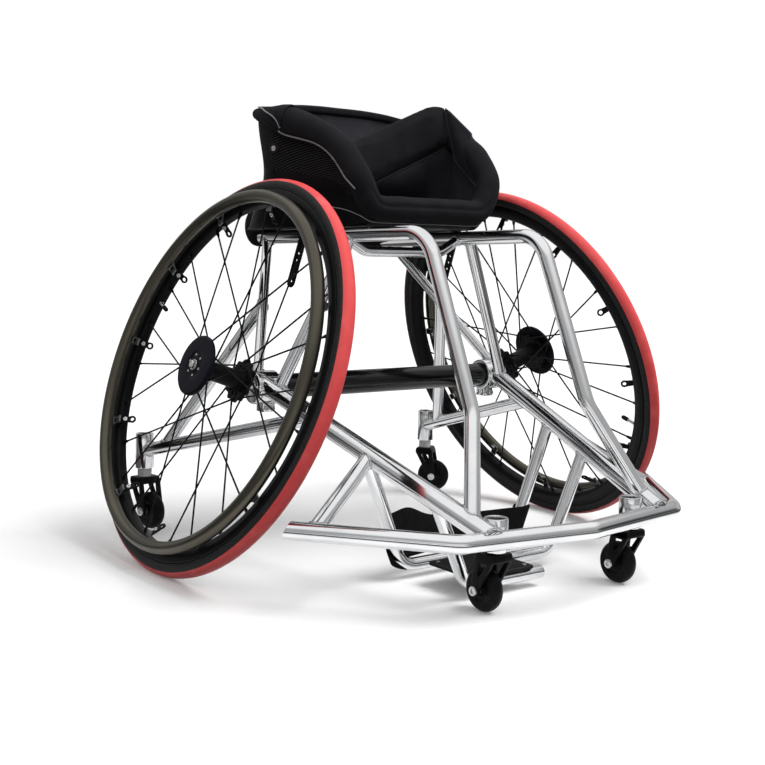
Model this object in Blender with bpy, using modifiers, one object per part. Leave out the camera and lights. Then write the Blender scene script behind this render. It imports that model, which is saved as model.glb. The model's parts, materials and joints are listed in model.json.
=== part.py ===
"""Sports wheelchair: welded tube frame, cambered quick-release wheels, bucket seat.

Metres, +Z up, the front faces -Y. The origin lies on the floor under the middle of the chair,
and the drive axle is the reference that the frame is measured from.
"""

from math import ceil, cos, pi, radians, sin, sqrt, tan

import bmesh
import bpy
from mathutils import Vector

for old in list(bpy.data.objects):
    bpy.data.objects.remove(old)

# Clearance between pieces that seat on each other.
GAP = 0.0003
WELD = 0.00001
SMOOTH_ANGLE = radians(35)
STRAIGHT_ANGLE = radians(4)
BEND_STEP = radians(15)

# Drive wheels.
WHEEL_RADIUS = 0.3045
TYRE_SECTION = 0.0125
CAMBER = radians(19.55)
TYRE_TOP_X = 0.209
RIM_DEPTH = 0.0175
RIM_HALF_WIDTH = 0.0125
HANDRIM_RISE = 0.005
HANDRIM_TUBE = 0.0095
HANDRIM_OFFSET = 0.028
TAB_COUNT = 12
TAB_PHASE = radians(24.5)
TAB_WIDTH = 0.012
TAB_THICKNESS = 0.003
TAB_REACH = 0.018
SPOKE_COUNT = 24
SPOKE_PHASE = radians(2)
SPOKE_RADIUS = 0.0011
SPOKE_TURN = radians(60)
SPOKE_STAGGER = 0.0019
SPOKE_SINK = 0.00275
FLANGE_RADIUS = 0.031
FLANGE_THICKNESS = 0.006
FLANGE_LOBE_RADIUS = 0.0042
INNER_FLANGE_OFFSET = 0.041
OUTER_FLANGE_OFFSET = 0.029
HUB_BARREL_RADIUS = 0.0145
HUB_BOSS = 0.004
COVER_RADIUS = 0.0455
COVER_THICKNESS = 0.007
AXLE_RADIUS = 0.00635
AXLE_INNER_END = 0.080
AXLE_HEAD_RADIUS = 0.008
AXLE_HEAD_LENGTH = 0.0085
AXLE_HEAD_WALL = 0.0018
BUTTON_TRAVEL = 0.004
BUTTON_PROUD = 0.0045
BUTTON_EDGE = 0.0014
BEARING_RADIUS = 0.0115
BEARING_WIDTH = 0.008
SPACER_WALL = 0.0014

# Axle clamps and camber tube.
CLAMP_OFFSET = 0.0745
CLAMP_RADIUS = 0.0255
CLAMP_INSIDE = 0.027
CLAMP_OUTSIDE = 0.013
CAMBER_TUBE_RADIUS = 0.019
CAMBER_TUBE_INSET = 0.012
CLAMP_EAR_WIDTH = 0.020
CLAMP_EAR_DROP = 0.012
CLAMP_EAR_MARGIN = 0.0027
CLAMP_SLIT = 0.002
SEAT_MARGIN = 1.15
REAR_FOOT_MARGIN = 1.5

# Frame tubes, as radii.
SIDE_TUBE = 0.011
DOWN_TUBE = 0.0145
REAR_STRUT = 0.008
MID_STRUT = 0.0095
ANTITIP_TUBE = 0.011
ANTITIP_BRACE = 0.010
BUMPER_TUBE = 0.0127
WING_STRUT = 0.011
CROSSBAR_TUBE = 0.008
FOOT_TUBE = 0.0095

# Side tube: seat rail, knee of the front leg, foot of the front leg.
RAIL_REAR_X = 0.127
RAIL_REAR_Y = 0.170
RAIL_REAR_Z = 0.4880
RAIL_FRONT_X = 0.110
RAIL_FRONT_Y = -0.2385
RAIL_FRONT_Z = 0.499
LEG_KNEE_X = 0.1115
LEG_KNEE_Y = -0.346
LEG_KNEE_Z = 0.256
LEG_FOOT_SHARE = 0.93
RAIL_BEND = 0.055
KNEE_BEND = 0.060

# Bumper bar and its wings, with the casters behind its front run.
BUMPER_HEIGHT = 0.107
BUMPER_CORNER_X = 0.204
BUMPER_CORNER_Y = -0.438
BUMPER_BOW = 0.031
BUMPER_BEND = 0.036
WING_ANGLE = radians(38.0)
WING_GAP = 0.018
DOWN_TUBE_FOOT_X = 0.161
DOWN_TUBE_RISE = 0.006
CASTER_X = 0.1345
WING_STRUT_TOP = 0.520
WING_STRUT_FOOT = 0.845

# Struts, as shares of the tubes that they meet.
REAR_STRUT_TOP = 0.035
MID_STRUT_TOP = 0.585
MID_STRUT_FOOT = 0.085
ANTITIP_TOP = 0.265
BRACE_FOOT = 0.865
BRACE_TOP = 0.50
CROSSBAR_Y = -0.045
CROSSBAR_DROP = 0.024
CROSSBAR_FLAT_X = 0.075
CROSSBAR_BEND = 0.030

# Footrest.
FOOT_BAR_HEIGHT = 0.020
FOOT_BEND = 0.035
FRONT_FOOT_Y_RIGHT = -0.350
FRONT_FOOT_Y_LEFT = -0.272
REAR_FOOT_Y_RIGHT = -0.220
REAR_FOOT_Y_LEFT = -0.180
FRONT_FOOT_SPREAD = 0.118
REAR_FOOT_SPREAD = 0.127
FRONT_BAR_END = 0.024
REAR_BAR_END = 0.020
PLATE_THICKNESS = 0.004
PLATE_CENTRE_X = -0.055
PLATE_WIDTH = 0.118
PLATE_MARGIN = 0.012
PLATE_CORNER = 0.012
HEEL_STRAP_LOW = 0.036
HEEL_STRAP_HEIGHT = 0.060
HEEL_STRAP_THICKNESS = 0.003
HEEL_STRAP_SAG = 0.018
HEEL_STRAP_FOLD = 0.003
HEEL_STRAP_FOLDS = 3

# Casters: wheel, fork and barrel, the same at the front and at the anti-tips.
CASTER_RADIUS = 0.0305
CASTER_TREAD = 0.012
CASTER_WEB = 0.0096
CASTER_BOSS = 0.0077
CASTER_PLAY = 0.0009
CASTER_TRAIL = 0.018
FORK_INSIDE = 0.0136
FORK_ARM = 0.0054
FORK_CROWN = 0.011
FORK_CROWN_HALF = 0.015
FORK_CHEEK_INSET = 0.0007
FORK_ARM_FRONT = 0.012
FORK_ARM_REAR = 0.0165
FORK_EYE = 0.0085
STEM_RADIUS = 0.006
AXLE_BOLT_RADIUS = 0.004
BOLT_HEAD_RADIUS = 0.0065
BOLT_HEAD = 0.003
FRONT_BARREL_RADIUS = 0.016
FRONT_BARREL_LOW = 0.085
FRONT_BARREL_HEIGHT = 0.045
FRONT_COLLAR = 0.002
ANTITIP_X = 0.300
ANTITIP_Y = 0.252
ANTITIP_BARREL_RADIUS = 0.01475
ANTITIP_BARREL_LOW = 0.105
ANTITIP_BARREL_HEIGHT = 0.058
ANTITIP_COLLAR = 0.013
ANTITIP_CLEARANCE = 0.006
COLLAR_RADIUS = 0.0115
BARREL_RECESS = 0.006
BARREL_LIP = 0.004
ANTITIP_YAW_RIGHT = radians(188)
ANTITIP_YAW_LEFT = radians(219)

# Seat: a bucket shell with a padded rim, a cushion, a pelvic pad and tension straps.
RIM_REAR_Y = 0.138
RIM_REAR_Z = 0.692
RIM_CORNER_X = 0.168
RIM_CORNER_Y = 0.118
RIM_CORNER_Z = 0.683
RIM_SIDE_X = 0.181
RIM_SIDE_Y = 0.064
RIM_SIDE_Z = 0.671
RIM_TOP_X = 0.164
RIM_TOP_Y = 0.030
RIM_TOP_Z = 0.6625
RIM_ARM_X = 0.143
RIM_ARM_Y = -0.025
RIM_ARM_Z = 0.643
RIM_ELBOW_X = 0.135
RIM_ELBOW_Y = -0.064
RIM_ELBOW_Z = 0.620
RIM_FRONT_X = 0.128
RIM_FRONT_Y = -0.0975
RIM_FRONT_Z = 0.580
RIM_LIP_X = 0.104
RIM_LIP_Y = -0.104
RIM_LIP_Z = 0.538
RIM_LIP_BOW = 0.003
RIM_LIP_DIP = 0.004
RIM_PAD_FRONT = 0.019
RIM_PAD_TOP = 0.024
RIM_PAD_SIDE = 0.014
RIM_PAD_REAR = 0.008
SHELL_WALL = 0.004
PAN_FRONT_X = 0.100
PAN_FRONT_Y = -0.098
PAN_LIP_Y = -0.093
PAN_TOE_X = 0.108
PAN_TOE_Y = -0.080
PAN_KNEE_X = 0.114
PAN_KNEE_Y = -0.060
PAN_ARM_X = 0.121
PAN_ARM_Y = -0.030
PAN_SIDE_X = 0.151
PAN_SIDE_Y = 0.018
PAN_HIP_X = 0.167
PAN_HIP_Y = 0.108
PAN_CORNER_X = 0.158
PAN_CORNER_Y = 0.166
PAN_REAR_X = 0.086
PAN_REAR_Y = 0.180
PAN_TAIL_Y = 0.185
SHELL_WAIST = 0.030
WAIST_DEPTH = 0.8
WALL_TUCK = 2.4
WALL_DROP = 1.5
TAIL_ROLL_RADIUS = 0.0205
TAIL_ROLL_HALF = 0.1375
TAIL_ROLL_Y = 0.1925
TAIL_ROLL_Z = 0.497
TAIL_ROLL_END = 0.010
CUSHION_HEIGHT = 0.022
CUSHION_CROWN = 0.012
CUSHION_INSET = 0.016
CUSHION_REAR_Y = 0.120
PAD_THICKNESS = 0.026
PAD_HEIGHT = 0.090
PAD_LENGTH = 0.290
PAD_TILT = radians(24)
PAD_BOW = 0.020
PAD_X = 0.022
PAD_Y = 0.034
PAD_Z = 0.632
STRAP_LOW_Z = 0.413
STRAP_WIDTH = 0.013
STRAP_THICKNESS = 0.003
STRAP_HOLE = 0.0025
STRAP_HOLES = 4
STRAP_X = 0.152
STRAP_SINK = 0.016
STRAP_Y = 0.004
STRAP_SWING = radians(17)

# Facets round a tube and round a wheel.
TUBE_SIDES = 12
WHEEL_SEGMENTS = 40
SECTION_SIDES = 8
COVER_SEGMENTS = 20
HUB_SEGMENTS = 20
SMALL_SEGMENTS = 16
AXLE_SEGMENTS = 12
BOLT_SEGMENTS = 10
FOOT_SIDES = 10
RIM_SIDES = 10
PAD_CUTS = 3
PAD_LEVELS = 2
LOBE_SIDES = 6
SPOKE_SIDES = 4
STRAP_HOLE_SIDES = 8

# Places worked out from the sizes above.
SECTION_RING = WHEEL_RADIUS - TYRE_SECTION
RIM_INNER_RADIUS = SECTION_RING - TYRE_SECTION - RIM_DEPTH
HANDRIM_RADIUS = RIM_INNER_RADIUS + HANDRIM_RISE
HALF_TRACK = TYRE_TOP_X + SECTION_RING * sin(CAMBER)
SECTION_TURNS = [2 * pi * i / SECTION_SIDES for i in range(SECTION_SIDES)]
HUB_HEIGHT = max(
    (SECTION_RING + TYRE_SECTION * cos(a)) * cos(CAMBER) + TYRE_SECTION * sin(a) * sin(CAMBER)
    for a in SECTION_TURNS
)
HUB = Vector((HALF_TRACK, 0, HUB_HEIGHT))
AXLE = Vector((cos(CAMBER), 0, sin(CAMBER)))
CLAMP = HUB - AXLE * CLAMP_OFFSET
BUMPER_CENTRE_Y = BUMPER_CORNER_Y - BUMPER_BOW
SHIFT_Y = -(WHEEL_RADIUS + BUMPER_CENTRE_Y - BUMPER_TUBE) / 2
SIDES = {"right": -1, "left": 1}

parts = bpy.data.collections.new("sports_wheelchair")
cutters = bpy.data.collections.new("cutters")
bpy.context.scene.collection.children.link(parts)
bpy.context.scene.collection.children.link(cutters)


def material(name, colour, roughness, metallic):
    made = bpy.data.materials.new(name)
    made.use_nodes = True
    shader = made.node_tree.nodes["Principled BSDF"]
    shader.inputs["Base Color"].default_value = (*colour, 1)
    shader.inputs["Roughness"].default_value = roughness
    shader.inputs["Metallic"].default_value = metallic
    return made


ALUMINIUM = material("polished_aluminium", (0.80, 0.81, 0.82), 0.12, 1.0)
GLOSS_BLACK = material("gloss_black", (0.012, 0.012, 0.014), 0.15, 0.0)
SATIN_BLACK = material("satin_black", (0.02, 0.02, 0.022), 0.40, 0.0)
TYRE_RED = material("tyre_red", (0.72, 0.05, 0.05), 0.55, 0.0)
BRONZE = material("handrim_bronze", (0.16, 0.135, 0.10), 0.38, 0.6)
STEEL = material("stainless_steel", (0.62, 0.62, 0.60), 0.25, 1.0)
FABRIC = material("black_upholstery", (0.025, 0.025, 0.028), 0.85, 0.0)
SHELL = material("seat_shell", (0.03, 0.03, 0.033), 0.50, 0.0)
CASTER_BLACK = material("caster_tread", (0.03, 0.03, 0.03), 0.50, 0.0)


def empty(name, location, rotation=(0, 0, 0), parent=None):
    made = bpy.data.objects.new(name, None)
    made.location = location
    made.rotation_euler = rotation
    made.parent = parent
    parts.objects.link(made)
    return made


root = empty("chair_origin", (0, SHIFT_Y, 0))


def hide(obj):
    obj.hide_render = True
    obj.display_type = "WIRE"
    return obj


def place(name, mesh, look, parent=None, location=(0, 0, 0), rotation=(0, 0, 0)):
    """Put a mesh in the scene as a sub-part, or as a cutter where it has no material."""
    made = bpy.data.objects.new(name, mesh)
    made.parent = parent or root
    made.location = location
    made.rotation_euler = rotation
    if look is None:
        cutters.objects.link(made)
        return hide(made)
    mesh.materials.append(look)
    parts.objects.link(made)
    mesh.shade_smooth()
    mesh.set_sharp_from_angle(angle=SMOOTH_ANGLE)
    return made


def cut(obj, *tools):
    for tool in tools:
        step = obj.modifiers.new("cut_" + tool.name, "BOOLEAN")
        step.object = tool
    return obj


def fuse(obj, *tools):
    for tool in tools:
        step = obj.modifiers.new("join_" + tool.name, "BOOLEAN")
        step.operation = "UNION"
        step.object = tool
    return obj


def rounded(points, bend):
    """A route through points whose inner corners are arcs of the bend radius."""
    route = [Vector(points[0])]
    for before, corner, after in zip(points, points[1:], points[2:]):
        a = (Vector(before) - Vector(corner)).normalized()
        b = (Vector(after) - Vector(corner)).normalized()
        half = a.angle(b) / 2
        turn = pi - 2 * half
        if turn < STRAIGHT_ANGLE:
            route.append(Vector(corner))
            continue
        middle = Vector(corner) + (a + b).normalized() * (bend / sin(half))
        start = Vector(corner) + a * (bend / tan(half)) - middle
        normal = (-a).cross(b).normalized()
        side = normal.cross(start)
        steps = max(2, ceil(turn / BEND_STEP))
        for i in range(steps + 1):
            angle = turn * i / steps
            route.append(middle + start * cos(angle) + side * sin(angle))
    route.append(Vector(points[-1]))
    return route


def curve_mesh(splines, radius, sides, radii=None, closed=False):
    """The mesh of round tubes along routes, with welded caps."""
    data = bpy.data.curves.new("route", "CURVE")
    data.dimensions = "3D"
    data.bevel_depth = radius
    data.bevel_resolution = (sides - 4) // 2
    data.use_fill_caps = not closed
    for route in splines:
        spline = data.splines.new("POLY")
        spline.points.add(len(route) - 1)
        spline.use_cyclic_u = closed
        for i, (point, place_at) in enumerate(zip(spline.points, route)):
            point.co = (*place_at, 1)
            if radii:
                point.radius = radii[i] / radius
    guide = bpy.data.objects.new("route", data)
    bpy.context.scene.collection.objects.link(guide)
    bpy.context.view_layer.update()
    mesh = bpy.data.meshes.new_from_object(
        guide.evaluated_get(bpy.context.evaluated_depsgraph_get())
    )
    bpy.data.objects.remove(guide)
    return tidy(mesh)


def tidy(mesh):
    shape = bmesh.new()
    shape.from_mesh(mesh)
    bmesh.ops.remove_doubles(shape, verts=shape.verts, dist=WELD)
    bmesh.ops.recalc_face_normals(shape, faces=shape.faces)
    shape.to_mesh(mesh)
    shape.free()
    return mesh


def tube(name, route, radius, look, sides=TUBE_SIDES):
    return place(name, curve_mesh([route], radius, sides), look)


def clear(sides):
    """How much larger a radius must be for the clearance on the flats between facets."""
    return GAP / cos(pi / sides)


def socket(name, route, radius, sides=TUBE_SIDES):
    """The space that a tube needs, for cutting the ends of what is welded to it."""
    return place("space_" + name, curve_mesh([route], radius + clear(sides), sides), None)


def revolve(name, profile, look, parent, segments=WHEEL_SEGMENTS, **where):
    """Turn a closed profile of (radius, height) points about local Z."""
    area = sum(
        a[0] * b[1] - b[0] * a[1] for a, b in zip(profile, profile[1:] + profile[:1])
    )
    ordered = profile if area < 0 else profile[::-1]
    shape = bmesh.new()
    corners = [shape.verts.new((r, 0, z)) for r, z in ordered]
    for a, b in zip(corners, corners[1:] + corners[:1]):
        if max(a.co.x, b.co.x) > 0:
            shape.edges.new((a, b))
    mesh = bpy.data.meshes.new(name)
    shape.to_mesh(mesh)
    shape.free()
    made = place(name, mesh, look, parent, **where)
    turn = made.modifiers.new("turn", "SCREW")
    turn.steps = segments
    turn.render_steps = segments
    turn.use_merge_vertices = True
    turn.merge_threshold = WELD
    return made


def prism(name, outline, low, high, look, parent, axis="Z", **where):
    """Extrude a flat outline from low to high along an axis of its parent."""
    shape = bmesh.new()
    order = {"Z": lambda u, v, w: (u, v, w), "X": lambda u, v, w: (w, u, v)}[axis]
    face = shape.faces.new([shape.verts.new(order(u, v, low)) for u, v in outline])
    grown = bmesh.ops.extrude_face_region(shape, geom=[face])
    moved = [v for v in grown["geom"] if isinstance(v, bmesh.types.BMVert)]
    bmesh.ops.translate(shape, verts=moved, vec=order(0, 0, high - low))
    bmesh.ops.recalc_face_normals(shape, faces=shape.faces)
    mesh = bpy.data.meshes.new(name)
    shape.to_mesh(mesh)
    shape.free()
    return place(name, mesh, look, parent, **where)


def rod(name, radius, low, high, look, parent, segments=SMALL_SEGMENTS, **where):
    profile = [(0, low), (radius, low), (radius, high), (0, high)]
    return revolve(name, profile, look, parent, segments, **where)


def mirrored(point, side):
    return Vector((point[0] * side, point[1], point[2]))


def along(route, share):
    """The point at a share of the way along the first straight run of a route."""
    return Vector(route[0]).lerp(Vector(route[1]), share)


def lathe_ring(ring, section, count=SECTION_SIDES, offset=0.0):
    return [
        (ring + section * cos(a), offset + section * sin(a))
        for a in (2 * pi * i / count for i in range(count))
    ]


# Frame routes on the left side; the right side mirrors them.
RAIL_REAR = Vector((RAIL_REAR_X, RAIL_REAR_Y, RAIL_REAR_Z))
RAIL_FRONT = Vector((RAIL_FRONT_X, RAIL_FRONT_Y, RAIL_FRONT_Z))
LEG_KNEE = Vector((LEG_KNEE_X, LEG_KNEE_Y, LEG_KNEE_Z))


def bumper_front_y(x):
    return BUMPER_CENTRE_Y + BUMPER_BOW * abs(x) / BUMPER_CORNER_X


HALF_CHORD = sqrt(WHEEL_RADIUS**2 - ((HUB_HEIGHT - BUMPER_HEIGHT) / cos(CAMBER)) ** 2)
WING_END_Y = -(HALF_CHORD + WING_GAP)
WING_END_X = BUMPER_CORNER_X + (WING_END_Y - BUMPER_CORNER_Y) * tan(WING_ANGLE)
BUMPER_CORNER = Vector((BUMPER_CORNER_X, BUMPER_CORNER_Y, BUMPER_HEIGHT))
WING_END = Vector((WING_END_X, WING_END_Y, BUMPER_HEIGHT))
FRONT_NORMAL = Vector((-BUMPER_BOW, BUMPER_CORNER_X, 0)).normalized()
CASTER_AT = Vector((CASTER_X, bumper_front_y(CASTER_X), 0)) + FRONT_NORMAL * (
    BUMPER_TUBE + FRONT_BARREL_RADIUS + 2 * GAP
)
DOWN_TOP = CLAMP + Vector(
    (CLAMP_OUTSIDE - SEAT_MARGIN * DOWN_TUBE, 0, CLAMP_RADIUS - SEAT_MARGIN * DOWN_TUBE)
)
DOWN_FOOT = Vector(
    (DOWN_TUBE_FOOT_X, bumper_front_y(DOWN_TUBE_FOOT_X), BUMPER_HEIGHT + DOWN_TUBE_RISE)
)
DOWN_ROUTE = [DOWN_TOP, DOWN_FOOT]
LEG_FOOT = along(DOWN_ROUTE, LEG_FOOT_SHARE)
SIDE_ROUTE = rounded([RAIL_REAR, RAIL_FRONT, LEG_KNEE], RAIL_BEND)[:-1] + rounded(
    [RAIL_FRONT, LEG_KNEE, LEG_FOOT], KNEE_BEND
)[1:]
RAIL_RUN = [RAIL_REAR, RAIL_FRONT]
REAR_FOOT = Vector(
    (
        CLAMP_OUTSIDE - SEAT_MARGIN * REAR_STRUT,
        -REAR_STRUT / 2,
        CLAMP_RADIUS - REAR_FOOT_MARGIN * REAR_STRUT,
    )
)
REAR_RUN = [along(RAIL_RUN, REAR_STRUT_TOP), CLAMP + REAR_FOOT]
MID_RUN = [along(RAIL_RUN, MID_STRUT_TOP), along(DOWN_ROUTE, MID_STRUT_FOOT)]
ANTITIP_LEVEL = ANTITIP_BARREL_LOW + ANTITIP_BARREL_HEIGHT / 2
ANTITIP_RUN = [along(DOWN_ROUTE, ANTITIP_TOP), Vector((ANTITIP_X, ANTITIP_Y, ANTITIP_LEVEL))]
BRACE_RUN = [along(REAR_RUN, BRACE_TOP), along(ANTITIP_RUN, BRACE_FOOT)]
WING_STRUT_RUN = [
    along(DOWN_ROUTE, WING_STRUT_TOP),
    BUMPER_CORNER.lerp(WING_END, WING_STRUT_FOOT),
]


def down_tube_at(y):
    return along(DOWN_ROUTE, (y - DOWN_TOP.y) / (DOWN_FOOT.y - DOWN_TOP.y))


def foot_route(side, y, spread, end):
    """A footrest tube that drops from the down tube and turns inward under the feet."""
    top = down_tube_at(y)
    corner = (spread * side, y, FOOT_BAR_HEIGHT)
    return rounded([mirrored(top, side), corner, (end, y, FOOT_BAR_HEIGHT)], FOOT_BEND)


def mirror_route(route, side):
    return [mirrored(p, side) for p in route]


# Frame.
bumper_route = rounded(
    [
        mirrored(WING_END, -1),
        mirrored(BUMPER_CORNER, -1),
        (0, BUMPER_CENTRE_Y, BUMPER_HEIGHT),
        BUMPER_CORNER,
        WING_END,
    ],
    BUMPER_BEND,
)
bumper = tube("bumper_bar", bumper_route, BUMPER_TUBE, ALUMINIUM)
bumper_space = socket("bumper", bumper_route, BUMPER_TUBE)

spaces = {}
for word, side in SIDES.items():
    pivot = mirrored(CASTER_AT, side)
    spaces[word, "barrel"] = rod(
        f"space_{word}_barrel",
        FRONT_BARREL_RADIUS + clear(SMALL_SEGMENTS),
        FRONT_BARREL_LOW - GAP,
        FRONT_BARREL_LOW + FRONT_BARREL_HEIGHT + GAP,
        None,
        root,
        location=(pivot.x, pivot.y, 0),
    )
    spaces[word, "clamp"] = rod(
        f"space_{word}_clamp",
        CLAMP_RADIUS + clear(HUB_SEGMENTS),
        -CLAMP_INSIDE - GAP,
        CLAMP_OUTSIDE + GAP,
        None,
        root,
        HUB_SEGMENTS,
        location=mirrored(CLAMP, side),
        rotation=(0, side * pi / 2, 0),
    )
    for key, route, radius in (
        ("down", DOWN_ROUTE, DOWN_TUBE),
        ("side", SIDE_ROUTE, SIDE_TUBE),
        ("rear", REAR_RUN, REAR_STRUT),
        ("antitip", ANTITIP_RUN, ANTITIP_TUBE),
    ):
        spaces[word, key] = socket(f"{word}_{key}", mirror_route(route, side), radius)

for word, side in SIDES.items():

    def space(key):
        return spaces[word, key]

    down = tube(f"{word}_down_tube", mirror_route(DOWN_ROUTE, side), DOWN_TUBE, ALUMINIUM)
    cut(down, bumper_space, space("barrel"), space("clamp"))

    rail = tube(f"{word}_side_tube", mirror_route(SIDE_ROUTE, side), SIDE_TUBE, ALUMINIUM)
    cut(rail, space("down"), space("barrel"), bumper_space)

    rear = tube(f"{word}_rear_strut", mirror_route(REAR_RUN, side), REAR_STRUT, ALUMINIUM)
    cut(rear, space("side"), space("clamp"))

    mid = tube(f"{word}_mid_strut", mirror_route(MID_RUN, side), MID_STRUT, ALUMINIUM)
    cut(mid, space("side"), space("down"), space("clamp"))

    arm = tube(f"{word}_antitip_arm", mirror_route(ANTITIP_RUN, side), ANTITIP_TUBE, ALUMINIUM)
    arm_barrel = rod(
        f"{word}_antitip_barrel",
        ANTITIP_BARREL_RADIUS,
        ANTITIP_BARREL_LOW,
        ANTITIP_BARREL_LOW + ANTITIP_BARREL_HEIGHT,
        None,
        root,
        location=(side * ANTITIP_X, ANTITIP_Y, 0),
    )
    arm_bore = rod(
        f"{word}_antitip_bore",
        STEM_RADIUS + GAP,
        ANTITIP_BARREL_LOW - STEM_RADIUS,
        ANTITIP_BARREL_LOW + ANTITIP_BARREL_HEIGHT - BARREL_RECESS,
        None,
        root,
        location=(side * ANTITIP_X, ANTITIP_Y, 0),
    )
    fuse(arm, arm_barrel)
    cut(arm, arm_bore, space("down"))

    brace = tube(f"{word}_antitip_brace", mirror_route(BRACE_RUN, side), ANTITIP_BRACE, ALUMINIUM)
    cut(brace, space("rear"), space("antitip"))

    wing = place(
        f"{word}_wing_strut",
        curve_mesh([mirror_route(WING_STRUT_RUN, side)], WING_STRUT, TUBE_SIDES),
        None,
    )
    fuse(bumper, wing)
    cut(bumper, space("down"))

    foot_tops = (
        ("front", {-1: FRONT_FOOT_Y_RIGHT, 1: FRONT_FOOT_Y_LEFT}[side], FRONT_FOOT_SPREAD),
        ("rear", {-1: REAR_FOOT_Y_RIGHT, 1: REAR_FOOT_Y_LEFT}[side], REAR_FOOT_SPREAD),
    )
    for key, y, spread in foot_tops:
        end = {"front": FRONT_BAR_END, "rear": REAR_BAR_END}[key]
        route = foot_route(side, y, spread, -side * end)
        foot = tube(f"{word}_{key}_foot_tube", route, FOOT_TUBE, ALUMINIUM, sides=FOOT_SIDES)
        cut(foot, space("down"))
        spaces[word, key + "_foot"] = socket(f"{word}_{key}_foot", route, FOOT_TUBE, FOOT_SIDES)

    barrel_top = FRONT_BARREL_LOW + FRONT_BARREL_HEIGHT
    pivot = mirrored(CASTER_AT, side)
    revolve(
        f"{word}_caster_barrel",
        [
            (STEM_RADIUS + GAP, FRONT_BARREL_LOW),
            (FRONT_BARREL_RADIUS, FRONT_BARREL_LOW),
            (FRONT_BARREL_RADIUS, barrel_top),
            (FRONT_BARREL_RADIUS - BARREL_LIP, barrel_top),
            (FRONT_BARREL_RADIUS - BARREL_LIP, barrel_top - BARREL_RECESS),
            (STEM_RADIUS + GAP, barrel_top - BARREL_RECESS),
        ],
        ALUMINIUM,
        root,
        SMALL_SEGMENTS,
        location=(pivot.x, pivot.y, 0),
    )


def rail_at(y):
    return along(RAIL_RUN, (y - RAIL_REAR_Y) / (RAIL_FRONT_Y - RAIL_REAR_Y))


bar_end = rail_at(CROSSBAR_Y)
bar_level = bar_end.z - CROSSBAR_DROP
crossbar_route = rounded(
    [
        mirrored(bar_end, -1),
        (-CROSSBAR_FLAT_X, CROSSBAR_Y, bar_level),
        (CROSSBAR_FLAT_X, CROSSBAR_Y, bar_level),
        bar_end,
    ],
    CROSSBAR_BEND,
)
crossbar = tube("seat_crossbar", crossbar_route, CROSSBAR_TUBE, ALUMINIUM)
cut(crossbar, spaces["right", "side"], spaces["left", "side"])

# Camber tube between the clamps.
tube_half = CLAMP.x - CAMBER_TUBE_INSET
rod(
    "camber_tube",
    CAMBER_TUBE_RADIUS,
    -tube_half,
    tube_half,
    GLOSS_BLACK,
    root,
    HUB_SEGMENTS,
    location=(0, CLAMP.y, CLAMP.z),
    rotation=(0, pi / 2, 0),
)

# Footplate over the two front bars, and the heel strap in front of the rear tubes.
plate_low = FOOT_BAR_HEIGHT + FOOT_TUBE + GAP
plate_front = FRONT_FOOT_Y_RIGHT - PLATE_MARGIN
plate_rear = FRONT_FOOT_Y_LEFT + PLATE_MARGIN
plate_corners = rounded(
    [
        (PLATE_CENTRE_X, plate_front, 0),
        (PLATE_CENTRE_X + PLATE_WIDTH / 2, plate_front, 0),
        (PLATE_CENTRE_X + PLATE_WIDTH / 2, plate_rear, 0),
        (PLATE_CENTRE_X - PLATE_WIDTH / 2, plate_rear, 0),
        (PLATE_CENTRE_X - PLATE_WIDTH / 2, plate_front, 0),
        (PLATE_CENTRE_X, plate_front, 0),
    ],
    PLATE_CORNER,
)[:-1]
footplate = prism(
    "footplate",
    [(p.x, p.y) for p in plate_corners],
    plate_low,
    plate_low + PLATE_THICKNESS,
    SATIN_BLACK,
    root,
)
cut(footplate, spaces["right", "front_foot"], spaces["left", "front_foot"])


def leg_at(side, y, spread, z):
    top = mirrored(down_tube_at(y), side)
    low = Vector((spread * side, y, FOOT_BAR_HEIGHT))
    return low.lerp(top, (z - low.z) / (top.z - low.z))


def heel_strap():
    """A band between the rear footrest tubes that sags back between them."""
    columns, rows = 16, 4
    shape = bmesh.new()
    grid = []
    stand = FOOT_TUBE + GAP + HEEL_STRAP_THICKNESS
    for j in range(rows + 1):
        z = HEEL_STRAP_LOW + HEEL_STRAP_HEIGHT * j / rows
        right = leg_at(-1, REAR_FOOT_Y_RIGHT, REAR_FOOT_SPREAD, z)
        left = leg_at(1, REAR_FOOT_Y_LEFT, REAR_FOOT_SPREAD, z)
        row = []
        for i in range(columns + 1):
            share = i / columns
            point = right.lerp(left, share)
            slack = sin(pi * share) ** 4
            sag = slack * HEEL_STRAP_SAG
            wave = sin(HEEL_STRAP_FOLDS * pi * share) * sin(pi * j / rows)
            fold = slack * HEEL_STRAP_FOLD * wave
            reach = FOOT_TUBE * (share - 0.5) * 2
            row.append(shape.verts.new((point.x + reach, point.y - stand + sag + fold, z)))
        grid.append(row)
    for low, high in zip(grid, grid[1:]):
        for i in range(columns):
            shape.faces.new((low[i], low[i + 1], high[i + 1], high[i]))
    mesh = bpy.data.meshes.new("heel_strap")
    shape.to_mesh(mesh)
    shape.free()
    made = place("heel_strap", mesh, FABRIC)
    thick = made.modifiers.new("cloth", "SOLIDIFY")
    thick.thickness = HEEL_STRAP_THICKNESS
    thick.offset = 0


heel_strap()


# Drive wheels, about an empty whose local Z is the outward axle.
HUB_INNER_END = -(INNER_FLANGE_OFFSET + FLANGE_THICKNESS / 2 + HUB_BOSS)
HUB_OUTER_END = OUTER_FLANGE_OFFSET + FLANGE_THICKNESS / 2 + HUB_BOSS / 2
COVER_LOW = HUB_OUTER_END + GAP
COVER_HIGH = COVER_LOW + COVER_THICKNESS
HEAD_LOW = HUB_OUTER_END + GAP
HEAD_HIGH = HEAD_LOW + AXLE_HEAD_LENGTH
HUB_BORE = AXLE_RADIUS + SPACER_WALL + 2 * GAP


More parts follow.
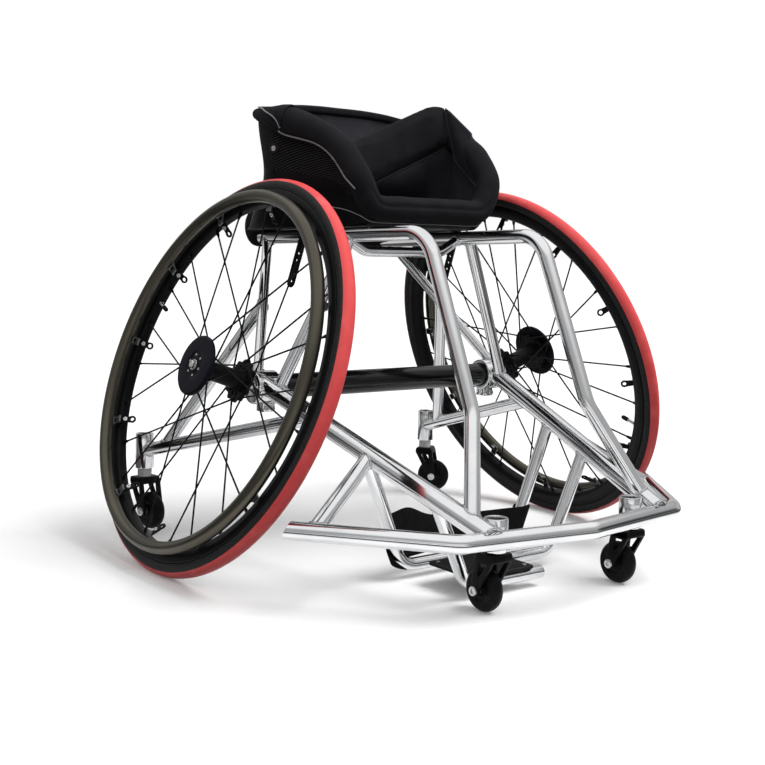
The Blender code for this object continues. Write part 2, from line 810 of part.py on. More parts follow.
def spoke_routes(turn):
    """Crossed spokes: every other one goes to the inner flange, alternately led and trailed."""
    rim_end = RIM_INNER_RADIUS * cos(pi / WHEEL_SEGMENTS) - 2 * GAP
    hub_end = FLANGE_RADIUS - SPOKE_SINK
    routes = []
    for k in range(SPOKE_COUNT):
        angle = turn * (SPOKE_PHASE + 2 * pi * k / SPOKE_COUNT)
        lead = 1 if (k // 2) % 2 else -1
        level = OUTER_FLANGE_OFFSET if k % 2 else -INNER_FLANGE_OFFSET
        at_hub = angle + lead * SPOKE_TURN
        height = level + lead * SPOKE_STAGGER
        routes.append(
            [
                Vector((hub_end * cos(at_hub), hub_end * sin(at_hub), height)),
                Vector((rim_end * cos(angle), rim_end * sin(angle), 0)),
            ]
        )
    return routes


def joined_meshes(shapes):
    """One mesh from several hidden objects that don't touch, for a single join or cut."""
    whole = bmesh.new()
    for obj in shapes:
        bpy.context.view_layer.update()
        mesh = bpy.data.meshes.new_from_object(
            obj.evaluated_get(bpy.context.evaluated_depsgraph_get())
        )
        mesh.transform(obj.matrix_local)
        whole.from_mesh(mesh)
        bpy.data.objects.remove(obj)
    mesh = bpy.data.meshes.new("joined")
    whole.to_mesh(mesh)
    whole.free()
    return mesh


def drive_wheel(word, side):
    axis = empty(
        f"{word}_wheel_axis", mirrored(HUB, side), (0, side * (pi / 2 - CAMBER), 0), root
    )
    revolve(f"{word}_tyre", lathe_ring(SECTION_RING, TYRE_SECTION), TYRE_RED, axis)

    bed = TYRE_SECTION + GAP / cos(pi / SECTION_SIDES)
    inner_turns = [a for a in SECTION_TURNS if cos(a) < -0.2]
    seat = [(SECTION_RING + bed * cos(a), bed * sin(a)) for a in inner_turns]
    lip = seat[0][0]
    foot = RIM_INNER_RADIUS
    revolve(
        f"{word}_rim",
        seat
        + [
            (lip, -RIM_HALF_WIDTH),
            (foot, -RIM_HALF_WIDTH / 2),
            (foot, RIM_HALF_WIDTH / 2),
            (lip, RIM_HALF_WIDTH),
        ],
        SATIN_BLACK,
        axis,
    )

    seat_radius = BEARING_RADIUS + GAP
    inner_mid = -INNER_FLANGE_OFFSET
    half = FLANGE_THICKNESS / 2
    hub = revolve(
        f"{word}_hub",
        [
            (seat_radius, HUB_OUTER_END),
            (HUB_BARREL_RADIUS, HUB_OUTER_END),
            (HUB_BARREL_RADIUS, OUTER_FLANGE_OFFSET + half),
            (FLANGE_RADIUS, OUTER_FLANGE_OFFSET + half),
            (FLANGE_RADIUS, OUTER_FLANGE_OFFSET - half),
            (HUB_BARREL_RADIUS, OUTER_FLANGE_OFFSET - half),
            (HUB_BARREL_RADIUS, inner_mid + half),
            (FLANGE_RADIUS, inner_mid + half),
            (FLANGE_RADIUS, inner_mid - half),
            (HUB_BARREL_RADIUS, inner_mid - half),
            (HUB_BARREL_RADIUS, HUB_INNER_END),
            (seat_radius, HUB_INNER_END),
            (seat_radius, HUB_INNER_END + BEARING_WIDTH + GAP),
            (HUB_BORE, HUB_INNER_END + BEARING_WIDTH + GAP),
            (HUB_BORE, HUB_OUTER_END - BEARING_WIDTH - GAP),
            (seat_radius, HUB_OUTER_END - BEARING_WIDTH - GAP),
        ],
        SATIN_BLACK,
        axis,
        HUB_SEGMENTS,
    )
    lobes = []
    for k in range(SPOKE_COUNT // 2):
        angle = -side * (SPOKE_PHASE + 4 * pi * k / SPOKE_COUNT) + pi / SPOKE_COUNT
        spot = Vector((cos(angle), sin(angle), 0)) * (FLANGE_RADIUS + FLANGE_LOBE_RADIUS / 3)
        spot.z = inner_mid
        depth = 2 * half
        lobes.append(
            rod(f"lobe_{k}", FLANGE_LOBE_RADIUS, -depth, depth, None, axis, LOBE_SIDES, location=spot)
        )
    cut(hub, place(f"{word}_flange_lobes", joined_meshes(lobes), None, axis))
    spokes = curve_mesh(spoke_routes(-side), SPOKE_RADIUS, SPOKE_SIDES)
    fuse(hub, place(f"{word}_spokes", spokes, None, axis))

    bore = AXLE_RADIUS + GAP
    spacer = AXLE_RADIUS + SPACER_WALL
    revolve(
        f"{word}_hub_bearing",
        [
            (bore, HUB_OUTER_END),
            (BEARING_RADIUS, HUB_OUTER_END),
            (BEARING_RADIUS, HUB_OUTER_END - BEARING_WIDTH),
            (spacer, HUB_OUTER_END - BEARING_WIDTH),
            (spacer, HUB_INNER_END + BEARING_WIDTH),
            (BEARING_RADIUS, HUB_INNER_END + BEARING_WIDTH),
            (BEARING_RADIUS, HUB_INNER_END),
            (bore, HUB_INNER_END),
        ],
        STEEL,
        axis,
        SMALL_SEGMENTS,
    )

    opening = AXLE_HEAD_RADIUS + 2 * GAP
    revolve(
        f"{word}_hub_cover",
        [
            (opening, COVER_LOW),
            (COVER_RADIUS - COVER_THICKNESS / 3, COVER_LOW),
            (COVER_RADIUS, COVER_LOW + COVER_THICKNESS / 3),
            (COVER_RADIUS, COVER_HIGH - COVER_THICKNESS / 4),
            (COVER_RADIUS - COVER_THICKNESS / 4, COVER_HIGH),
            (opening + COVER_THICKNESS, COVER_HIGH),
            (opening, COVER_HIGH - COVER_THICKNESS / 4),
        ],
        SATIN_BLACK,
        axis,
        COVER_SEGMENTS,
    )

    handrim = revolve(
        f"{word}_handrim",
        lathe_ring(HANDRIM_RADIUS, HANDRIM_TUBE, SECTION_SIDES, HANDRIM_OFFSET),
        BRONZE,
        axis,
    )
    tab_low = RIM_HALF_WIDTH + GAP
    tab_inside = HANDRIM_RADIUS - HANDRIM_TUBE / 2
    tab_outside = HANDRIM_RADIUS + HANDRIM_TUBE / 2
    slope = RIM_HALF_WIDTH / 2 / (lip - foot)
    on_rim = RIM_HALF_WIDTH / 2 + GAP + slope * lip * (1 - cos(pi / WHEEL_SEGMENTS))
    block = [
        (foot - TAB_REACH, tab_low),
        (foot - TAB_REACH, tab_low + TAB_THICKNESS),
        (tab_inside, tab_low + TAB_THICKNESS),
        (tab_inside, HANDRIM_OFFSET),
        (tab_outside, HANDRIM_OFFSET),
        (tab_outside, on_rim + slope * (tab_outside - foot)),
        (foot, on_rim),
        (foot, tab_low),
    ]
    tabs = []
    for k in range(TAB_COUNT):
        angle = -side * (TAB_PHASE + 2 * pi * k / TAB_COUNT)
        tabs.append(
            prism(
                f"tab_{k}",
                [(z, -r) for r, z in block],
                -TAB_WIDTH / 2,
                TAB_WIDTH / 2,
                None,
                axis,
                rotation=(0, -pi / 2, angle - pi / 2),
            )
        )
    fuse(handrim, place(f"{word}_tabs", joined_meshes(tabs), None, axis))

    floor = HEAD_LOW + AXLE_HEAD_WALL
    cup = AXLE_HEAD_RADIUS - AXLE_HEAD_WALL
    revolve(
        f"{word}_axle",
        [
            (0, -AXLE_INNER_END),
            (AXLE_RADIUS, -AXLE_INNER_END),
            (AXLE_RADIUS, HEAD_LOW),
            (AXLE_HEAD_RADIUS, HEAD_LOW),
            (AXLE_HEAD_RADIUS, HEAD_HIGH),
            (cup, HEAD_HIGH),
            (cup, floor),
            (0, floor),
        ],
        STEEL,
        axis,
        AXLE_SEGMENTS,
    )
    button = cup - GAP
    revolve(
        f"{word}_release_button",
        [
            (0, floor + BUTTON_TRAVEL + GAP),
            (button, floor + BUTTON_TRAVEL + GAP),
            (button, HEAD_HIGH + BUTTON_PROUD - BUTTON_EDGE),
            (button - BUTTON_EDGE, HEAD_HIGH + BUTTON_PROUD),
            (0, HEAD_HIGH + BUTTON_PROUD),
        ],
        STEEL,
        axis,
        AXLE_SEGMENTS,
    )

    # Axle clamp: a split collar on the camber tube with the axle's bore in its outer end.
    clamp_at = mirrored(CLAMP, side)
    across = (0, side * pi / 2, 0)
    clamp = rod(
        f"{word}_axle_clamp",
        CLAMP_RADIUS,
        -CLAMP_INSIDE,
        CLAMP_OUTSIDE,
        ALUMINIUM,
        root,
        HUB_SEGMENTS,
        location=clamp_at,
        rotation=across,
    )
    below = (0, pi / 2, 0 if side > 0 else pi)
    ear = prism(
        f"{word}_clamp_ear",
        [
            (CLAMP_RADIUS / 2, -CLAMP_EAR_WIDTH / 2),
            (CLAMP_RADIUS + CLAMP_EAR_DROP, -CLAMP_EAR_WIDTH / 2),
            (CLAMP_RADIUS + CLAMP_EAR_DROP, CLAMP_EAR_WIDTH / 2),
            (CLAMP_RADIUS / 2, CLAMP_EAR_WIDTH / 2),
        ],
        CLAMP_EAR_MARGIN - CLAMP_INSIDE,
        -CLAMP_EAR_MARGIN,
        None,
        root,
        location=clamp_at,
        rotation=below,
    )
    bore_depth = CAMBER_TUBE_INSET - GAP
    tube_bore = rod(
        f"{word}_clamp_tube_bore",
        CAMBER_TUBE_RADIUS + clear(HUB_SEGMENTS),
        -2 * CLAMP_INSIDE,
        -bore_depth,
        None,
        root,
        HUB_SEGMENTS,
        location=clamp_at,
        rotation=across,
    )
    slit = prism(
        f"{word}_clamp_slit",
        [
            (0, -CLAMP_SLIT / 2),
            (2 * (CLAMP_RADIUS + CLAMP_EAR_DROP), -CLAMP_SLIT / 2),
            (2 * (CLAMP_RADIUS + CLAMP_EAR_DROP), CLAMP_SLIT / 2),
            (0, CLAMP_SLIT / 2),
        ],
        -2 * CLAMP_INSIDE,
        -bore_depth,
        None,
        root,
        location=clamp_at,
        rotation=below,
    )
    axle_bore = rod(
        f"{word}_clamp_axle_bore",
        AXLE_RADIUS + GAP,
        -AXLE_INNER_END - GAP,
        0,
        None,
        axis,
        AXLE_SEGMENTS,
    )
    fuse(clamp, ear)
    cut(clamp, tube_bore, slit, axle_bore)


for word, side in SIDES.items():
    drive_wheel(word, side)


def caster(name, pivot, yaw, barrel_low, barrel_high, collar, wheel_low):
    """A swivel fork with its stem in a barrel, and a round-tread wheel on a bolt."""
    swivel = empty(f"{name}_swivel_axis", (pivot.x, pivot.y, 0), (0, 0, yaw), root)
    wheel_z = wheel_low + CASTER_RADIUS
    hub = empty(f"{name}_wheel_axis", (0, CASTER_TRAIL, wheel_z), (0, pi / 2, 0), swivel)
    crown_top = barrel_low - collar - GAP
    crown_low = crown_top - FORK_CROWN
    outside = FORK_INSIDE + FORK_ARM
    fork = prism(
        f"{name}_fork",
        [
            (-FORK_CROWN_HALF, crown_top),
            (-FORK_CROWN_HALF, crown_low),
            (-FORK_CROWN_HALF / 2, crown_low - FORK_CROWN / 2),
            (FORK_CROWN_HALF, crown_low - FORK_CROWN / 2),
            (FORK_CROWN_HALF + CASTER_TRAIL / 4, crown_low),
            (FORK_CROWN_HALF, crown_top),
        ],
        FORK_CHEEK_INSET - outside,
        outside - FORK_CHEEK_INSET,
        SATIN_BLACK,
        swivel,
        axis="X",
    )
    window = prism(
        f"{name}_fork_window",
        [
            (-2 * FORK_CROWN_HALF, crown_low),
            (-2 * FORK_CROWN_HALF, 0),
            (3 * FORK_CROWN_HALF, 0),
            (3 * FORK_CROWN_HALF, crown_low),
        ],
        -FORK_INSIDE,
        FORK_INSIDE,
        None,
        swivel,
        axis="X",
    )
    eye = [
        (CASTER_TRAIL + FORK_EYE * cos(a), wheel_z + FORK_EYE * sin(a))
        for a in (radians(-190 + 40 * i) for i in range(6))
    ]
    shoulder = crown_low + FORK_CROWN / 3
    arm_outline = [(-FORK_ARM_FRONT, shoulder)] + eye + [(FORK_ARM_REAR, shoulder)]
    arms = [
        prism(f"{name}_arm_{i}", arm_outline, low, low + FORK_ARM, None, swivel, axis="X")
        for i, low in enumerate((-outside, FORK_INSIDE))
    ]
    stem_top = barrel_high - BARREL_RECESS - 2 * GAP
    stem = revolve(
        f"{name}_stem",
        [
            (0, crown_top - FORK_CROWN / 2),
            (COLLAR_RADIUS, crown_top - FORK_CROWN / 2),
            (COLLAR_RADIUS, barrel_low - GAP),
            (STEM_RADIUS, barrel_low - GAP),
            (STEM_RADIUS, stem_top),
            (0, stem_top),
        ],
        None,
        swivel,
        SMALL_SEGMENTS,
    )
    bore = AXLE_BOLT_RADIUS + GAP
    reach = 2 * outside
    hole = rod(f"{name}_fork_holes", bore, -reach, reach, None, hub, BOLT_SEGMENTS)
    cut(fork, window)
    fuse(fork, *arms, stem)
    cut(fork, hole)

    ring = CASTER_RADIUS - CASTER_TREAD
    tread = [
        (ring + CASTER_TREAD * cos(a), CASTER_TREAD * sin(a))
        for a in (pi * i / 6 for i in range(-2, 3))
    ]
    boss = FORK_INSIDE - CASTER_PLAY
    lower = [(bore, -boss), (CASTER_BOSS, -boss), (CASTER_BOSS, -CASTER_WEB), (ring, -CASTER_WEB)]
    upper = [(r, -z) for r, z in lower[::-1]]
    revolve(f"{name}_wheel", lower + tread + upper, CASTER_BLACK, hub, SMALL_SEGMENTS)
    head = outside + GAP
    revolve(
        f"{name}_axle_bolt",
        [
            (0, -head - BOLT_HEAD),
            (BOLT_HEAD_RADIUS - BOLT_HEAD / 2, -head - BOLT_HEAD),
            (BOLT_HEAD_RADIUS, -head - BOLT_HEAD / 2),
            (BOLT_HEAD_RADIUS, -head),
            (AXLE_BOLT_RADIUS, -head),
            (AXLE_BOLT_RADIUS, head),
            (BOLT_HEAD_RADIUS, head),
            (BOLT_HEAD_RADIUS, head + BOLT_HEAD),
            (0, head + BOLT_HEAD),
        ],
        STEEL,
        hub,
        BOLT_SEGMENTS,
    )


for word, side in SIDES.items():
    caster(
        f"{word}_caster",
        mirrored(CASTER_AT, side),
        0,
        FRONT_BARREL_LOW,
        FRONT_BARREL_LOW + FRONT_BARREL_HEIGHT,
        FRONT_COLLAR,
        0,
    )
    caster(
        f"{word}_antitip",
        Vector((side * ANTITIP_X, ANTITIP_Y, 0)),
        {-1: ANTITIP_YAW_RIGHT, 1: ANTITIP_YAW_LEFT}[side],
        ANTITIP_BARREL_LOW,
        ANTITIP_BARREL_LOW + ANTITIP_BARREL_HEIGHT,
        ANTITIP_COLLAR,
        ANTITIP_CLEARANCE,
    )


# Seat bucket: a rim loop, walls that drop from it, and a flat pan on the seat rails.
RIM_LOOP = [
    (0, RIM_LIP_Y - RIM_LIP_BOW, RIM_LIP_Z - RIM_LIP_DIP, RIM_PAD_FRONT),
    (RIM_LIP_X / 2, RIM_LIP_Y - RIM_LIP_BOW, RIM_LIP_Z - RIM_LIP_DIP, RIM_PAD_FRONT),
    (RIM_LIP_X, RIM_LIP_Y, RIM_LIP_Z, RIM_PAD_FRONT),
    (RIM_FRONT_X, RIM_FRONT_Y, RIM_FRONT_Z, RIM_PAD_FRONT),
    (RIM_ELBOW_X, RIM_ELBOW_Y, RIM_ELBOW_Z, RIM_PAD_FRONT),
    (RIM_ARM_X, RIM_ARM_Y, RIM_ARM_Z, RIM_PAD_FRONT),
    (RIM_TOP_X, RIM_TOP_Y, RIM_TOP_Z, RIM_PAD_TOP),
    (RIM_SIDE_X, RIM_SIDE_Y, RIM_SIDE_Z, RIM_PAD_SIDE),
    (RIM_CORNER_X, RIM_CORNER_Y, RIM_CORNER_Z, RIM_PAD_REAR),
    (RIM_CORNER_X / 2, RIM_REAR_Y, RIM_REAR_Z, RIM_PAD_REAR),
    (0, RIM_REAR_Y, RIM_REAR_Z, RIM_PAD_REAR),
]
PAN_LOOP = [
    (0, PAN_FRONT_Y),
    (PAN_FRONT_X / 2, PAN_FRONT_Y),
    (PAN_FRONT_X, PAN_LIP_Y),
    (PAN_TOE_X, PAN_TOE_Y),
    (PAN_KNEE_X, PAN_KNEE_Y),
    (PAN_ARM_X, PAN_ARM_Y),
    (PAN_SIDE_X, PAN_SIDE_Y),
    (PAN_HIP_X, PAN_HIP_Y),
    (PAN_CORNER_X, PAN_CORNER_Y),
    (PAN_REAR_X, PAN_REAR_Y),
    (0, PAN_TAIL_Y),
]
LOOP_STEPS = 2


def full_loop(half):
    """Mirror a half loop from the front middle to the rear middle into a closed one."""
    return half + [(-p[0], *p[1:]) for p in half[-2:0:-1]]


def smooth_loop(points, steps):
    """A closed Catmull-Rom curve through points, with any number of values in each."""
    count = len(points)
    made = []
    for i in range(count):
        a, b, c, d = (points[(i + k) % count] for k in (-1, 0, 1, 2))
        for j in range(steps):
            t = j / steps
            made.append(
                tuple(
                    q + 0.5 * t * (r - p + t * (2 * p - 5 * q + 4 * r - w + t * (3 * (q - r) + w - p)))
                    for p, q, r, w in zip(a, b, c, d)
                )
            )
    return made


rim_loop = [
    (Vector((x, y, z)), pad) for x, y, z, pad in smooth_loop(full_loop(RIM_LOOP), LOOP_STEPS)
]
pan_loop = smooth_loop(full_loop(PAN_LOOP), LOOP_STEPS)
PAN_RISE = SIDE_TUBE / cos(pi / TUBE_SIDES) + GAP


def pan_z(y):
    return rail_at(y).z + PAN_RISE


def wall(i, t):
    """A point of the bucket's outer wall below loop point i, from the rim to the pan."""
    top = rim_loop[i % len(rim_loop)][0]
    x, y = pan_loop[i % len(pan_loop)]
    inward = t**WALL_TUCK
    down = 1 - (1 - t) ** WALL_DROP
    rear = max(0, (top.y - RIM_TOP_Y) / (RIM_REAR_Y - RIM_TOP_Y))
    waist = SHELL_WAIST * rear * sin(pi * min(1, t / WAIST_DEPTH)) ** 2
    return Vector(
        (
            top.x + (x - top.x) * inward,
            top.y + (y - top.y) * inward - waist,
            top.z + (pan_z(y) - top.z) * down,
        )
    )


def grid_shell(name, rows, look, fill_last=False):
    """Skin rows of points that each run once round, and close the last row if asked."""
    shape = bmesh.new()
    made = [[shape.verts.new(p) for p in row] for row in rows]
    for upper, lower in zip(made, made[1:]):
        for i in range(len(upper)):
            j = (i + 1) % len(upper)
            shape.faces.new((upper[i], lower[i], lower[j], upper[j]))
    if fill_last:
        shape.faces.new(made[-1][::-1])
    bmesh.ops.recalc_face_normals(shape, faces=shape.faces)
    mesh = bpy.data.meshes.new(name)
    shape.to_mesh(mesh)
    shape.free()
    return place(name, mesh, look)


def close(obj):
    """Cap the open ends of a skinned shape."""
    shape = bmesh.new()
    shape.from_mesh(obj.data)
    bmesh.ops.holes_fill(shape, edges=shape.edges, sides=0)
    bmesh.ops.recalc_face_normals(shape, faces=shape.faces)
    shape.to_mesh(obj.data)
    shape.free()
    return obj


WALL_LEVELS = [0, 0.2, 0.4, 0.6, 0.78, 0.9, 1]
wall_rows = [[wall(i, t) for i in range(len(rim_loop))] for t in WALL_LEVELS]
shell = grid_shell("seat_shell", wall_rows, SHELL, fill_last=True)
shell_wall = shell.modifiers.new("wall", "SOLIDIFY")
shell_wall.thickness = SHELL_WALL
shell_wall.offset = -1


def rim_mesh(extra):
    radii = [r + extra for _, r in rim_loop]
    route = [p for p, _ in rim_loop]
    return curve_mesh([route], RIM_PAD_FRONT, RIM_SIDES, radii, closed=True)


place("padded_rim", rim_mesh(0), FABRIC)
rim_space = place("space_padded_rim", rim_mesh(clear(RIM_SIDES)), None)
cut(shell, rim_space)

# The padded roll across the tail of the pan, behind the ends of the rails.
tail_route = [
    Vector((side * x, TAIL_ROLL_Y, TAIL_ROLL_Z))
    for side, x in (
        (-1, TAIL_ROLL_HALF),
        (-1, TAIL_ROLL_HALF - TAIL_ROLL_END),
        (1, TAIL_ROLL_HALF - TAIL_ROLL_END),
        (1, TAIL_ROLL_HALF),
    )
]
tail_radii = [TAIL_ROLL_RADIUS - TAIL_ROLL_END, TAIL_ROLL_RADIUS] * 2
tail_radii[2:] = tail_radii[1::-1]
tail_roll = place(
    "tail_roll", curve_mesh([tail_route], TAIL_ROLL_RADIUS, TUBE_SIDES, tail_radii), None
)
fuse(shell, tail_roll)


# Rows of the cushion from its underside to its crown: shares of its inset, height and crown.
CUSHION_SECTION = (
    (2.0, 0, 0),
    (1.2, 0.25, 0),
    (1.0, 0.55, 0),
    (1.5, 0.9, 0.17),
    (3.0, 1.0, 0.67),
    (4.2, 1.12, 1),
)


def cushion(name, look, extra):
    """A crowned cushion with drawn-in sides that fills the pan."""
    rows = []
    middle = Vector((0, (PAN_FRONT_Y + CUSHION_REAR_Y) / 2))
    shrink = CUSHION_REAR_Y / PAN_TAIL_Y
    outline = [(x, min(y, y * shrink)) for x, y in pan_loop[::LOOP_STEPS]]
    for inset, rise, swell in CUSHION_SECTION:
        row = []
        for x, y in outline:
            edge = Vector((x, y)) - middle
            at = middle + edge * (1 - (CUSHION_INSET * inset - extra) / edge.length)
            floor = pan_z(at.y) + SHELL_WALL + 2 * GAP - extra
            height = (CUSHION_HEIGHT + 2 * extra) * rise + CUSHION_CROWN * swell
            row.append(Vector((at.x, at.y, floor + height)))
        rows.append(row)
    return close(grid_shell(name, rows, look, fill_last=True))


cushion("seat_cushion", FABRIC, 0)
cushion_space = cushion("space_seat_cushion", None, 3 * GAP)


def bucket_room(name, grow):
    """Everything inside the bucket's outer wall, grown a little, reaching far above the rim."""
    sky = [p + Vector((0, 0, PAD_LENGTH)) for p in wall_rows[0]]
    room = close(grid_shell(name, [sky] + wall_rows, None, fill_last=True))
    moves = [v.normal * grow for v in room.data.vertices]
    for v, move in zip(room.data.vertices, moves):
        v.co += move
    return room


def pelvic_pad():
    """A padded belt across the bucket that rises to the left, trimmed by the bucket's sides."""
    shape = bmesh.new()
    bmesh.ops.create_cube(shape, size=1)
    across = [e for e in shape.edges if abs(e.verts[0].co.x - e.verts[1].co.x) > 0.5]
    bmesh.ops.subdivide_edges(shape, edges=across, cuts=PAD_CUTS)
    for v in shape.verts:
        bow = PAD_BOW * (2 * v.co.x) ** 2
        v.co = (v.co.x * PAD_LENGTH, v.co.y * PAD_THICKNESS - bow, v.co.z * PAD_HEIGHT)
    mesh = bpy.data.meshes.new("pelvic_pad")
    shape.to_mesh(mesh)
    shape.free()
    made = place(
        "pelvic_pad", mesh, FABRIC, location=(PAD_X, PAD_Y, PAD_Z), rotation=(0, -PAD_TILT, 0)
    )
    soft = made.modifiers.new("soft", "SUBSURF")
    soft.levels = PAD_LEVELS
    soft.render_levels = PAD_LEVELS
    trim = made.modifiers.new("trim", "BOOLEAN")
    trim.operation = "INTERSECT"
    trim.object = bucket_room("space_in_bucket", -SHELL_WALL - 2 * GAP)
    cut(made, rim_space, cushion_space)


pelvic_pad()


bucket_space = bucket_room("space_of_bucket", 2 * GAP)


def tension_strap(word, side):
    """A perforated strap with a pointed end that hangs from the bucket's side."""
    top = pan_z(STRAP_Y) + STRAP_SINK
    length = (top - STRAP_LOW_Z) / cos(STRAP_SWING)
    data = bpy.data.curves.new(f"{word}_strap_outline", "CURVE")
    data.dimensions = "2D"
    data.fill_mode = "BOTH"
    data.extrude = STRAP_THICKNESS / 2
    half = STRAP_WIDTH / 2
    outline = [(-half, 0), (half, 0), (half, half - length), (0, -length), (-half, half - length)]
    pitch = length / (STRAP_HOLES + 3)
    rings = [outline]
    for k in range(STRAP_HOLES):
        level = half - length + pitch * k
        rings.append(
            [
                (STRAP_HOLE * cos(a), level + STRAP_HOLE * sin(a))
                for a in (2 * pi * i / STRAP_HOLE_SIDES for i in range(STRAP_HOLE_SIDES))
            ]
        )
    for ring in rings:
        spline = data.splines.new("POLY")
        spline.points.add(len(ring) - 1)
        spline.use_cyclic_u = True
        for point, (u, v) in zip(spline.points, ring):
            point.co = (u, v, 0, 1)
    guide = bpy.data.objects.new("outline", data)
    bpy.context.scene.collection.objects.link(guide)
    bpy.context.view_layer.update()
    mesh = bpy.data.meshes.new_from_object(
        guide.evaluated_get(bpy.context.evaluated_depsgraph_get())
    )
    bpy.data.objects.remove(guide)
    strap = place(
        f"{word}_tension_strap",
        tidy(mesh),
        FABRIC,
        location=(side * STRAP_X, STRAP_Y, top),
        rotation=(pi / 2 + STRAP_SWING, 0, pi / 2),
    )
    cut(strap, bucket_space)


for word, side in SIDES.items():
    tension_strap(word, side)
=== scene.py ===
"""Court wheelchair: cambered spoked wheels, polished tube frame, padded bucket seat.

Metres, +Z up, the chair rolls towards -Y, and +X is the user's left. Places are given from the
middle of the drive axle's line on the floor, and `chair()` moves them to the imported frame.
"""

import json
from math import acos, cos, pi, radians, sin, sqrt, tan

import bmesh
import bpy
import numpy as np
from mathutils import Matrix, Vector, noise


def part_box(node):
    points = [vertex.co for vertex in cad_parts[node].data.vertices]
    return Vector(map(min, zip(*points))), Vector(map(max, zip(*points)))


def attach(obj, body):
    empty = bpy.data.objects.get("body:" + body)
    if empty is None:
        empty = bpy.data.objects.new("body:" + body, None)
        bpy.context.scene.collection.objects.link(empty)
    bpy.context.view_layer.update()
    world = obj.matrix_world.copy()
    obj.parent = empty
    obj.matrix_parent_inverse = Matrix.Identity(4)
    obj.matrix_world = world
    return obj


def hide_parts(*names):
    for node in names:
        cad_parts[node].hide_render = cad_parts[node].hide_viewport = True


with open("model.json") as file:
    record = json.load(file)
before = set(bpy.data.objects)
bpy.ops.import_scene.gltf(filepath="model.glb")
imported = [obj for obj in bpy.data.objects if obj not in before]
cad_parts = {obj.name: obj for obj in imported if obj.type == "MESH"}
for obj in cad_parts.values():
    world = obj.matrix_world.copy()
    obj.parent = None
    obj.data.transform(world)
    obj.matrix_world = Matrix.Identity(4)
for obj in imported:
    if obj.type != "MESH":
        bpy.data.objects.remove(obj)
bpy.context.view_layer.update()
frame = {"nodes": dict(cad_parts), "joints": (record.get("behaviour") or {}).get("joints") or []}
JOINTS = {joint["name"]: joint for joint in frame["joints"]}
AXLE_Y = JOINTS["left_wheel_spin"]["pos_m"][1]
SIDES = {"right": -1, "left": 1}
GAP = 0.0003

bl_info = {
    "name": "Court wheelchair",
    "version": (1, 0, 0),
    "blender": (4, 5, 0),
    "location": "View3D > Sidebar > Wheelchair",
    "description": "Dresses the packed wheelchair with its wheels, frame, casters and seat",
    "category": "Object",
}


def length(name, default, description):
    return bpy.props.FloatProperty(
        name=name, description=description, default=default, min=0, unit="LENGTH", precision=4
    )


def colour(name, default, description):
    return bpy.props.FloatVectorProperty(
        name=name, description=description, default=default, size=3, min=0, max=1, subtype="COLOR"
    )


class WheelSizes(bpy.types.PropertyGroup):
    """Sizes of the drive wheels."""

    radius: length("Wheel radius", 0.3045, "Radius over the tread")
    tyre: length("Tyre section", 0.0125, "Radius of the tyre's section")
    handrim: length("Handrim radius", 0.267, "Radius of the handrim's centre line")
    handrim_tube: length("Handrim tube", 0.0095, "Radius of the handrim's tube")
    handrim_offset: length("Handrim offset", 0.028, "Distance of the handrim from the wheel's plane")
    spoke: length("Spoke", 0.0015, "Radius of a spoke")


class FrameSizes(bpy.types.PropertyGroup):
    """Radii of the frame's tubes."""

    side: length("Side tube", 0.011, "Radius of a seat rail and front leg")
    down: length("Down tube", 0.0145, "Radius of a tube from axle to bumper")
    bumper: length("Bumper tube", 0.0127, "Radius of the bumper and its wings")
    foot: length("Footrest tube", 0.0095, "Radius of a footrest tube")
    bead: length("Weld bead", 0.0017, "Radius of a weld bead")


class SeatSizes(bpy.types.PropertyGroup):
    """Sizes of the upholstery."""

    piping: length("Piping", 0.0013, "Radius of the piping along the rolls")
    pad_thickness: length("Pad thickness", 0.026, "Thickness of the pelvic pad")
    pad_height: length("Pad height", 0.082, "Height of the pelvic pad")
    strap: length("Strap width", 0.013, "Width of a tension strap")


class Finishes(bpy.types.PropertyGroup):
    """Colours of the parts."""

    tread: colour("Tread", (0.84, 0.080, 0.082), "Colour of the tyre's tread")
    handrim: colour("Handrim", (0.095, 0.087, 0.068), "Anodised colour of the handrims")
    # The lining takes this colour made 2.4 times lighter, as painted light.
    cloth: colour("Cloth", (0.0165, 0.0168, 0.0195), "Colour of the rolls, the lining and the cushion")
    pad: colour("Pad", (0.0160, 0.0163, 0.0185), "Colour of the pelvic pad")
    piping: colour("Piping", (0.38, 0.385, 0.40), "Colour of the piping")
    floor: colour("Floor", (0.90, 0.90, 0.90), "Colour of the floor")


class Wire:
    """A shader socket that can take part in sums."""

    def __init__(self, finish, socket):
        self.finish = finish
        self.socket = socket

    def math(self, operation, first, second):
        return self.finish.node("ShaderNodeMath", {"operation": operation}, {0: first, 1: second})

    def __add__(self, other):
        return self.math("ADD", self, other)

    __radd__ = __add__

    def __rsub__(self, other):
        return self.math("SUBTRACT", other, self)

    def __mul__(self, other):
        return self.math("MULTIPLY", self, other)

    __rmul__ = __mul__

    def over(self, low, high):
        """0 below low, 1 above high, smooth between."""
        return self.finish.node(
            "ShaderNodeMapRange",
            {"interpolation_type": "SMOOTHSTEP"},
            {"Value": self, "From Min": low, "From Max": high},
        )


